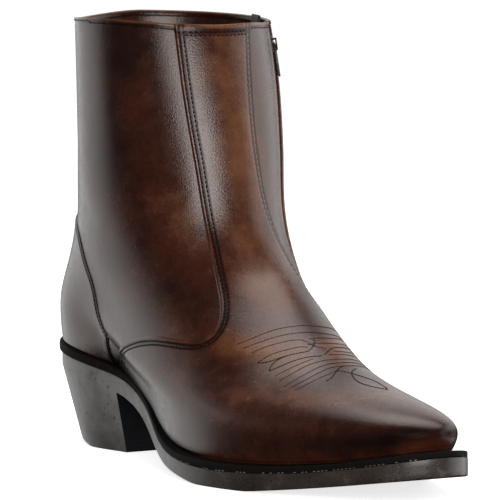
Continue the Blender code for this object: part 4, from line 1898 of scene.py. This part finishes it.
@dataclass
class SoleStrip:
    """A strip under the upper's edge with worked edges: the welt or the heel rand."""

    name: str
    node: str
    first: float
    last: float
    steps: int
    inset: float = 7.0
    round_top: float = 0.8
    channel: float = 0.0

    def section(self) -> list[tuple[float, float, bool]]:
        """The strip's section: inset from the edge, height over or under its face, and which face.

        Returns:
            The section's points.
        """
        top = self.round_top
        return [
            (0.45, 0.0, False), (0.10, 0.18, False), (0.0, 0.55, False), (0.0, 1.2, False),
            (0.0, -1.2, True), (0.0, -top, True),
            (0.10 * top, -0.45 * top, True), (0.42 * top, -0.12 * top, True),
            (top, 0.0, True), (1.5, -self.channel * 0.3, True), (2.1, -self.channel, True),
            (2.7, -self.channel * 0.3, True), (3.4, 0.0, True), (self.inset * 2.0, 0.0, True),
            (self.inset * 2.0, 0.0, False), (3.0, 0.0, False),
        ]

    def build(self, finish: Material) -> None:
        """The strip from end to end, with rounded closed ends.

        Args:
            finish: The strip's material.
        """
        turn = np.linspace(self.first, self.last, self.steps)
        reach = edge_reach(turn, "welt_reach")
        rings = []
        for inset, height, is_top in self.section():
            far = np.minimum(inset, reach + self.inset)
            plan = outline(turn, reach - far)
            level = welt_top(plan[:, 0]) if is_top else welt_bottom(plan[:, 0])
            rings.append(np.column_stack([plan, level + height]))
        points = np.stack(rings, axis=1)
        points = np.concatenate([points, points[:, :1]], axis=1)
        middle = points[:, :-1].mean(axis=1, keepdims=True)
        ends = []
        for index in (0, -1):
            ends.append(np.broadcast_to(middle[index], points[index].shape)[None])
        points = np.concatenate([ends[0], points, ends[1]])
        item = Bench.grid(self.name, points).item
        Bench.weld(item, closed=True)
        Bench.round_edges(item, width=0.35, segments=2, angle=60.0)
        Bench.shade(item, angle=45.0)
        Bench.hand_in(item, Slot.BLACK_EDGE, [finish], [self.node])

    def thread_rows(self, low: float, high: float) -> list[Row]:
        """The line of the sole's sewing along the strip's lower edge, on both sides.

        Args:
            low: Turn of the front end.
            high: Turn of the back end.

        Returns:
            One row for each side.
        """
        rows = []
        for side in Side:
            turn = np.linspace(low, high, 300) * side.value
            reach = edge_reach(turn, "welt_reach")
            plan = outline(turn, reach + 0.05)
            outwards = outline(turn, reach + 1.0) - outline(turn, reach)
            level = welt_bottom(plan[:, 0]) + 0.25
            points = (np.column_stack([plan, level]) - MIDDLE) * MM
            rows.append(Row(points, np.column_stack([outwards, np.zeros(len(turn))])))
        return rows


def capped(sides: Sequence[Array], caps: int) -> Array:
    """Rows of a closed solid from its side rings, drawn in to the middle line at both ends.

    Args:
        sides: Rings from top to bottom, each with its points paired about the middle line.
        caps: Rows from the edge of each cap to its middle line.

    Returns:
        Rows of points, closed around.
    """
    rows = []
    for ring in (sides[0], sides[-1]):
        centre = (ring + ring[::-1]) / 2.0
        rows.append([ring + (centre - ring) * share for share in np.linspace(0.0, 1.0, caps + 1)[1:]])
    points = np.stack([*rows[0][::-1], *sides, *rows[1]])
    return np.concatenate([points, points[:, :1]], axis=1)


@dataclass
class Outsole:
    """The full outsole with its rounded edge."""

    turns: int = 288
    caps: int = 6
    clearance: float = 0.04
    worked_from: float = 71.0
    worked_run: float = 6.0

    def build(self, finishes: Finishes) -> None:
        """The sole with its shank arch, flat tread spot and toe spring.

        Args:
            finishes: The boot's finishes.
        """
        turn = (np.arange(self.turns) + 0.5) * 360.0 / self.turns
        reach = edge_reach(turn, "sole_reach")
        front = outline(turn, reach)[:, 0]
        sides = []
        for inset, share, lift in ((0.5, 1.0, 0.0), (0.12, 1.0, -0.2), (0.0, 1.0, -0.6), (0.0, 0.66, 0.0),
                                   (0.0, 0.33, 0.0), (0.0, 0.0, 0.7), (0.18, 0.0, 0.22), (0.7, 0.0, 0.0)):
            worked = np.ones_like(front)
            if share == 0.0:
                worked = smooth_step((front - self.worked_from) / self.worked_run)
            plan = outline(turn, reach - inset * worked)
            top = welt_bottom(plan[:, 0]) - self.clearance
            bottom = sole_bottom(plan[:, 0])
            sides.append(np.column_stack([plan, bottom + (top - bottom) * share + lift * worked]))
        points = capped(sides, self.caps)
        for index in range(points.shape[0]):
            flat = sole_bottom(points[index, :, 0])
            cover = welt_bottom(points[index, :, 0]) - self.clearance
            if index < self.caps:
                points[index, :, 2] = cover
            elif index >= points.shape[0] - self.caps:
                points[index, :, 2] = flat
        item = Bench.solid("leather_outsole", points, angle=45.0)
        Bench.hand_in(item, Slot.SOLE, [finishes.sole], ["outsole"])


@dataclass
class Insole:
    """The insole that shows at the bottom of the boot, with its filler."""

    turns: int = 120
    depth: float = 2.5
    clearance: float = 0.6
    inset: float = 7.0

    def build(self, finishes: Finishes) -> None:
        """A rounded pad inside the upper.

        Args:
            finishes: The boot's finishes.
        """
        turn = (np.arange(self.turns) + 0.5) * 360.0 / self.turns
        sides = []
        for reach, lift, face in ((-WALL - self.clearance - 1.2, self.depth, True),
                                  (-WALL - self.clearance - 0.3, self.depth - 0.3, True),
                                  (-WALL - self.clearance, self.depth - 1.0, True),
                                  (-WALL - self.clearance, 0.0, True),
                                  (-self.inset - GAP, 0.0, True), (-self.inset - GAP, 0.0, False)):
            plan = outline(turn, np.full(len(turn), reach))
            level = welt_top(plan[:, 0]) + GAP if face else welt_bottom(plan[:, 0])
            sides.append(np.column_stack([plan, level + lift]))
        item = Bench.solid("padded_insole", capped(sides, 4), angle=45.0)
        Bench.hand_in(item, Slot.LINING, [finishes.lining], ["insole"])


@dataclass
class Heel:
    """The stacked heel and its rubber top lift."""

    breast_x: float = 71.5
    base_back_x: float = 9.5
    base_half_width: float = 23.5
    cap_depth: float = 5.0
    cap_share: float = 0.84
    rocker_x: float = 45.0
    rocker_rise: float = 6.5
    turns: int = 96
    layers: int = 12
    seam: float = 0.01
    breast_facing: float = 0.8

    def outline(self) -> Array:
        """The outsole's outline behind the heel's breast.

        Returns:
            Places in millimetres, with a last axis of two.
        """
        back_half = np.linspace(60.0, 180.0, 481)
        places = outline(back_half, edge_reach(back_half, "sole_reach"))[:, 0]
        first = float(np.interp(-self.breast_x, -places, back_half))
        turn = np.linspace(first, 360.0 - first, self.turns)
        rim = outline(turn, edge_reach(turn, "sole_reach"))
        rim[0, 0] = self.breast_x
        rim[-1, 0] = self.breast_x
        return rim

    def ring(self, share: float) -> Array:
        """The heel's outline at a share of the way down from the outsole to the floor.

        Args:
            share: 0 at the outsole, 1 at the floor.

        Returns:
            Places in millimetres, with a last axis of two.
        """
        rim = self.outline()
        depth = (self.breast_x - self.base_back_x) / (self.breast_x - rim[:, 0].min())
        width = self.base_half_width / ((rim[-1, 1] - rim[0, 1]) / 2.0)
        centre = np.array([self.breast_x, (rim[-1, 1] + rim[0, 1]) / 2.0])
        drawn_in = 1.0 + (np.array([depth, width]) - 1.0) * share
        return centre + (rim - centre) * drawn_in

    def floor(self, x: Array) -> Array:
        """Height of the heel's underside, flat at the breast and off the floor at the back."""
        rise = (self.rocker_x - x) * self.rocker_rise / (self.rocker_x - self.base_back_x)
        return np.maximum(rise, 0.0)

    def dress(self, item: Item) -> None:
        """Give the breast's faces the second material.

        Args:
            item: The block or the top lift.
        """
        for face in item.data.polygons:
            if face.normal.x > self.breast_facing:
                face.material_index = 1

    def build(self, finishes: Finishes) -> None:
        """The block with its dark breast, and the top lift.

        Args:
            finishes: The boot's finishes.
        """
        seat = sole_bottom(self.outline()[:, 0]) - self.seam
        foot = self.floor(self.ring(self.cap_share)[:, 0]) + self.cap_depth + self.seam
        sides = []
        for step in np.linspace(0.0, 1.0, self.layers):
            level = seat * (1.0 - step) + foot * step
            sides.append(np.column_stack([self.ring(step * self.cap_share), level]))
        block = Bench.solid("stacked_heel", capped(sides, 2), angle=40.0)
        Bench.hand_in(block, Slot.SOLE, [finishes.heel, finishes.breast], ["heel_block"])
        self.dress(block)
        sides = []
        for share, lift in ((self.cap_share, self.cap_depth), (self.cap_share + 0.055, self.cap_depth * 0.66),
                            (self.cap_share + 0.107, self.cap_depth * 0.33), (0.995, 0.5), (1.015, 0.0)):
            plan = self.ring(share)
            sides.append(np.column_stack([plan, self.floor(plan[:, 0]) + lift]))
        cap = Bench.solid("top_lift", capped(sides, 2), angle=40.0)
        Bench.hand_in(cap, Slot.RUBBER, [finishes.heel, finishes.breast], ["heel_cap"])
        self.dress(cap)


@dataclass
class Zip:
    """The side zip: woven tape, two rows of teeth and the folded end at the collar."""

    sunk: float = 1.5
    tape_depth: float = 0.55
    half_width: float = 2.8
    rows: int = 130
    tooth: Triple = (1.9, 0.85, 0.62)
    pitch: float = 1.35
    stagger: float = 0.55
    proud: float = 0.25
    slope_reach: float = 0.5
    fold_half_width: float = 4.2
    fold_turn: float = -80.0
    fold_columns: int = 15
    hollow: float = 0.12

    def tape(self, finishes: Finishes) -> None:
        """The tape in the slot.

        Args:
            finishes: The boot's finishes.
        """
        rise = np.linspace(ZIP_FOOT_RISE + EDGE_RISE, 1.0, self.rows)
        across = np.linspace(-1.0, 1.0, 13)
        half = half_turn_for(self.half_width, rise)
        turn = zip_turn(rise)[:, None] + half[:, None] * across
        heights = -self.sunk - self.hollow + self.hollow * np.abs(across) + np.zeros_like(turn)
        sheet = Bench.grid("zip_tape", skin(turn, rise[:, None], heights))
        Bench.face_out(sheet, normal(turn, np.broadcast_to(rise[:, None], turn.shape)))
        Bench.finish(sheet.item, "SOLIDIFY", thickness=self.tape_depth * MM, offset=-1.0)
        Bench.shade(sheet.item, angle=50.0)
        Bench.hand_in(sheet.item, Slot.TAPE, [finishes.tape], ["zip"])

    def teeth(self, finishes: Finishes) -> None:
        """The interlocked teeth along the middle of the tape.

        Args:
            finishes: The boot's finishes.
        """
        fine = np.linspace(ZIP_FOOT_RISE + 0.02, 0.99, 600)
        line = surface(zip_turn(fine), fine)
        along = run_length(line)
        spots = []
        axes = []
        for index, place in enumerate(np.arange(0.6, along[-1], self.pitch / 2.0)):
            rise = np.array(np.interp(place, along, fine))
            turn = zip_turn(rise)
            out = normal(turn, rise)
            front = read_at(place + self.slope_reach, along, line)
            ahead = unit(front - read_at(place - self.slope_reach, along, line))
            across = np.cross(out, ahead)
            side = self.stagger if index % 2 else -self.stagger
            spot = surface(turn, rise) - out * (self.sunk - self.proud) + across * side
            spots.append((spot - MIDDLE) * MM)
            axes.append(np.stack([across, out, ahead]))
        item = Stamp.of(Bench.cube(self.tooth, bevel=0.2)).copies("zip_teeth", spots, axes, angle=30.0)
        Bench.hand_in(item, Slot.METAL, [finishes.brass])

    def fold(self, finishes: Finishes) -> None:
        """The tape's end, folded and tucked inside the collar behind the zip.

        Args:
            finishes: The boot's finishes.
        """
        half = float(half_turn_for(self.fold_half_width, np.array(1.0)))
        turn = self.fold_turn + half * np.linspace(-1.0, 1.0, self.fold_columns)
        top = surface(turn, np.ones(self.fold_columns))
        out = normal(turn, np.ones(self.fold_columns))
        up = np.array([0.0, 0.0, 1.0])
        section = ((-1.75, -6.0), (-1.6, -2.0), (-1.5, 0.2), (-1.6, 1.0), (-2.0, 1.5), (-2.6, 1.5),
                   (-3.0, 0.8), (-3.15, -0.6), (-3.2, -2.5), (-3.2, -4.5))
        rows = [top + out * across + up * height for across, height in section]
        sheet = Bench.grid("zip_tape_end", np.stack(rows))
        Bench.face_out(sheet, np.broadcast_to(up, (len(rows), self.fold_columns, 3)))
        item = sheet.item
        Bench.finish(item, "SOLIDIFY", thickness=0.5 * MM, offset=-1.0)
        Bench.finish(item, "SUBSURF", levels=1, render_levels=1)
        Bench.shade(item, angle=60.0)
        Bench.hand_in(item, Slot.TAPE, [finishes.tape])


@dataclass
class Slider:
    """The zip's slider with its bridge, and the pull that hangs on it."""

    rise: float = 0.955
    width: float = 4.6
    height: float = 8.0
    depth: float = 1.1
    out: float = -0.25
    bridge_width: float = 1.8
    bridge_length: float = 5.4
    bridge_bar: float = 0.55
    bridge_room: float = 1.2
    pull_width: float = 4.6
    pull_length: float = 15.0
    pull_depth: float = 0.7
    window_width: float = 2.6
    window_length: float = 4.2

    def axes(self) -> Matrix:
        """The slider's place: its axes run across, out of the face and up the chain.

        Returns:
            The place as a matrix, in metres.
        """
        rises = np.array([self.rise - 0.004, self.rise, self.rise + 0.004])
        points = surface(zip_turn(rises), rises)
        out = Vector(normal(zip_turn(rises), rises)[1])
        along = Vector(points[2] - points[0]).normalized()
        across = out.cross(along).normalized()
        place = Matrix((across, out, across.cross(out))).transposed().to_4x4()
        place.translation = Vector((points[1] - MIDDLE) * MM)
        return place

    def block(self, size: Triple, centre: Triple, taper: float = 1.0) -> Item:
        """A cube shaped to a size and place in the slider's own axes.

        Args:
            size: Size in millimetres.
            centre: Its middle.
            taper: Width at the lower end, as a share.

        Returns:
            The block.
        """
        item = Bench.cube([value * MM for value in size])
        for vertex in item.data.vertices:
            if vertex.co.z < 0.0:
                vertex.co.x *= taper
            vertex.co += Vector(centre) * MM
        return item

    def united(self, name: str, blocks: Sequence[Item]) -> Item:
        """One object from several blocks.

        Args:
            name: The object's name.
            blocks: The blocks.

        Returns:
            The object.
        """
        first = blocks[0]
        Bench.name(first, name)
        for other in blocks[1:]:
            Bench.finish(first, "BOOLEAN", operation="UNION", solver="EXACT", object=other)
            Bench.discard(other)
        return first

    def build(self, finishes: Finishes) -> None:
        """The slider and the pull, rounded and set in place.

        Args:
            finishes: The boot's finishes.
        """
        face = self.out + self.depth / 2.0
        post = (self.bridge_length - self.bridge_bar) / 2.0
        post_size = (self.bridge_width, self.bridge_room + self.bridge_bar, self.bridge_bar)
        post_out = face + (self.bridge_room + self.bridge_bar) / 2.0 - 0.05
        bar_out = face + self.bridge_room + self.bridge_bar / 2.0
        slider = self.united("zip_slider_body", [
            self.block((self.width, self.depth, self.height), (0.0, self.out, 0.0), taper=0.72),
            self.block(post_size, (0.0, post_out, post)),
            self.block(post_size, (0.0, post_out, -post)),
            self.block((self.bridge_width, self.bridge_bar, self.bridge_length), (0.0, bar_out, 0.0)),
        ])
        arm = (self.pull_width - self.window_width) / 2.0
        arm_x = (self.pull_width - arm) / 2.0
        plate = self.pull_length - self.window_length
        arm_length = self.window_length + self.pull_depth
        arm_z = self.pull_depth / 2.0 - arm_length / 2.0
        plate_z = self.pull_depth / 2.0 - self.window_length - plate / 2.0
        pull = self.united("zip_pull_tab", [
            self.block((self.pull_width, self.pull_depth, self.pull_depth), (0.0, 0.0, 0.0)),
            self.block((arm, self.pull_depth, arm_length), (arm_x, 0.0, arm_z)),
            self.block((arm, self.pull_depth, arm_length), (-arm_x, 0.0, arm_z)),
            self.block((self.pull_width, self.pull_depth, plate), (0.0, 0.0, plate_z), taper=0.86),
        ])
        hinge = self.axes() @ Matrix.Translation((0.0, (face + self.bridge_room / 2.0) * MM, 0.0))
        for item, place in ((slider, self.axes()), (pull, hinge)):
            item.data.transform(place)
            Bench.weld(item, closed=True)
            Bench.round_edges(item, width=0.2, segments=2, angle=40.0)
            Bench.shade(item, angle=40.0)
        Bench.hand_in(slider, Slot.METAL, [finishes.brass], ["zip_slider"])
        Bench.hand_in(pull, Slot.METAL, [finishes.brass], ["zip_pull"], Body.PULL)


def look_at(item: Item, target: Vector, bearing: float, elevation: float, distance: float) -> None:
    """Put a light or the camera on the stage, turned to a target.

    Args:
        item: The light or the camera.
        target: What it faces, in metres.
        bearing: Degrees around, from the outer side towards the toe.
        elevation: Degrees up.
        distance: Metres away.
    """
    around = math.radians(bearing)
    lift = math.radians(elevation)
    away = Vector((math.sin(around) * math.cos(lift), -math.cos(around) * math.cos(lift), math.sin(lift)))
    item.location = target + away * distance
    item.rotation_euler = away.to_track_quat("Z", "Y").to_euler()
    bpy.context.scene.collection.objects.link(item)


@dataclass
class Softbox:
    """A large soft light: its bearing and height seen from the boot, its size and its power."""

    name: str
    bearing: float
    elevation: float
    distance: float
    width: float
    height: float
    power: float

    def build(self, target: Vector) -> None:
        """Hang the light and turn it to the boot.

        Args:
            target: What it faces, in metres.
        """
        lamp = bpy.data.lights.new(self.name, "AREA")
        lamp.shape = "RECTANGLE"
        lamp.size = self.width
        lamp.size_y = self.height
        lamp.energy = self.power
        item = bpy.data.objects.new(self.name, lamp)
        item.visible_camera = False
        look_at(item, target, self.bearing, self.elevation, self.distance)


@dataclass
class Studio:
    """The floor, the light and the camera."""

    bearing: float = 59.0
    elevation: float = 6.2
    distance: float = 4.2
    focal_pixels: float = 9492.0
    picture: int = 500
    sensor: float = 36.0
    aim: Triple = (-0.001614, 0.000157, 0.097)
    light_aim: Triple = (0.0, 0.0, 0.09)
    floor_radius: float = 2.2
    floor_clear: float = 0.25
    surround: float = 0.035
    backdrop: float = 1.05

    def camera(self) -> None:
        """A long lens at the photograph's angle."""
        lens = bpy.data.cameras.new("camera")
        lens.sensor_width = self.sensor
        lens.lens = self.sensor * self.focal_pixels / self.picture
        lens.clip_end = 50.0
        item = bpy.data.objects.new("camera", lens)
        look_at(item, Vector(self.aim), self.bearing, self.elevation, self.distance)
        bpy.context.scene.camera = item

    def floor(self) -> None:
        """A pale floor that fades out at its rim."""
        bpy.ops.object.select_all(action="DESELECT")
        bpy.ops.mesh.primitive_circle_add(vertices=96, radius=self.floor_radius, fill_type="NGON")
        item = bpy.context.object
        Bench.name(item, "floor")
        board = Board("pale_floor")
        board.set(Base_Color=(0.92, 0.92, 0.92, 1.0), Roughness=0.9, Specular_IOR_Level=0.0,
                  Emission_Color=WHITE, Emission_Strength=0.75)
        length = board.add("VectorMath", {0: board.places})
        length.operation = "LENGTH"
        fade = board.add("MapRange", {"Value": length.outputs["Value"], "From Min": self.floor_clear,
                                      "From Max": self.floor_radius * 0.95, "To Min": 1.0, "To Max": 0.0})
        fade.interpolation_type = "SMOOTHSTEP"
        board.set(Alpha=fade.outputs["Result"])
        item.data.materials.append(board.material)
        item.visible_glossy = False
        item.visible_diffuse = False

    def sky(self) -> None:
        """A white backdrop with a dim surround, so that the gloss comes from the softboxes."""
        world = bpy.data.worlds.new("studio")
        world.use_nodes = True
        tree = world.node_tree
        tree.nodes.clear()
        output = tree.nodes.new("ShaderNodeOutputWorld")
        mix = tree.nodes.new("ShaderNodeMixShader")
        path = tree.nodes.new("ShaderNodeLightPath")
        tree.links.new(path.outputs["Is Camera Ray"], mix.inputs["Fac"])
        for socket, strength in ((1, self.surround), (2, self.backdrop)):
            glow = tree.nodes.new("ShaderNodeBackground")
            glow.inputs["Color"].default_value = WHITE
            glow.inputs["Strength"].default_value = strength
            tree.links.new(glow.outputs["Background"], mix.inputs[socket])
        tree.links.new(mix.outputs["Shader"], output.inputs["Surface"])
        bpy.context.scene.world = world

    def lights(self) -> None:
        """Softboxes left, right, behind and above, and a small one beside the camera."""
        target = Vector(self.light_aim)
        view = self.bearing
        for box in (
            Softbox("left_wall", view - 134.0, 4.0, 1.7, 2.0, 1.9, 13.5),
            Softbox("right_wall", view + 109.0, 6.0, 1.7, 2.4, 1.8, 27.0),
            Softbox("top_light", view + 155.0, 68.0, 1.8, 1.9, 1.5, 21.0),
            Softbox("back_wall", view + 176.0, 14.0, 1.8, 1.6, 1.0, 4.0),
            Softbox("front_light", view + 1.0, 13.0, 2.2, 1.5, 1.3, 44.0),
        ):
            box.build(target)

    def build(self) -> None:
        """Set the stage."""
        self.camera()
        self.floor()
        self.sky()
        self.lights()
        view = bpy.context.scene.view_settings
        view.view_transform = "Standard"
        view.look = "None"


def main() -> None:
    """Build every piece in order and report it."""
    logging.basicConfig(level=logging.INFO, format="%(name)s %(message)s")
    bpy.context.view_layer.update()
    finishes = Finishes()
    quarters = Quarters()
    wall = quarters.build(finishes)
    vamp = Vamp()
    front = vamp.build(finishes)
    counter = Counter()
    back = counter.build(finishes)
    wall_tree = Bench.tree(wall)
    front_tree = Bench.tree(front)
    Thread("outer_seam_stitches", pitch=2.1, length=1.7, radius=0.36).sew(
        vamp.seam_rows(front_tree, Side.OUTER) + vamp.top_rows(front_tree), finishes.thread, Slot.LEATHER)
    # The inner seam's stitches take the lighter copy of the thread, a painted highlight.
    Thread("inner_seam_stitches", pitch=2.5, length=1.8, radius=0.34).sew(
        vamp.seam_rows(front_tree, Side.INNER), finishes.highlit_thread, Slot.LEATHER)
    Thread("collar_stitches", pitch=2.4, length=2.0, radius=0.3).sew(
        [quarters.collar_row(wall_tree, quarters.stitch_place)], finishes.thread, Slot.LEATHER)
    Thread("counter_stitches", pitch=1.9, length=1.5, radius=0.24).sew(
        counter.rows_of_sewing(Bench.tree(back)), finishes.thread, Slot.LEATHER)
    toe = ToeStitching()
    Thread("toe_stitches", pitch=1.55, length=1.75, radius=0.24, sunk=0.04).sew(
        toe.rows(front_tree, toe.thin_curves()), finishes.thread, Slot.LEATHER)
    Thread("toe_hook_stitches", pitch=1.55, length=1.8, radius=0.30, sunk=0.05).sew(
        toe.rows(front_tree, toe.bold_curves()), finishes.thread, Slot.LEATHER)
    # The welt's black is dye and also painted shade: it stands for the shadow under the upper's edge at the
    # forepart.
    welt = SoleStrip("welt_strip", "welt", first=-125.85, last=125.85, steps=240, channel=0.3)
    welt.build(finishes.black_edge)
    rand = SoleStrip("heel_rand_strip", "heel_rand", first=126.15, last=233.85, steps=90, round_top=1.2)
    rand.build(finishes.black_edge)
    Thread("welt_stitches", pitch=2.1, length=1.4, radius=0.22, missing=0.35).sew(
        welt.thread_rows(low=8.0, high=82.0), finishes.pale_thread, Slot.BLACK_EDGE)
    Outsole().build(finishes)
    Insole().build(finishes)
    Heel().build(finishes)
    side_zip = Zip()
    side_zip.tape(finishes)
    side_zip.teeth(finishes)
    side_zip.fold(finishes)
    Slider().build(finishes)
    Studio().build()


if __name__ == "__main__":
    main()
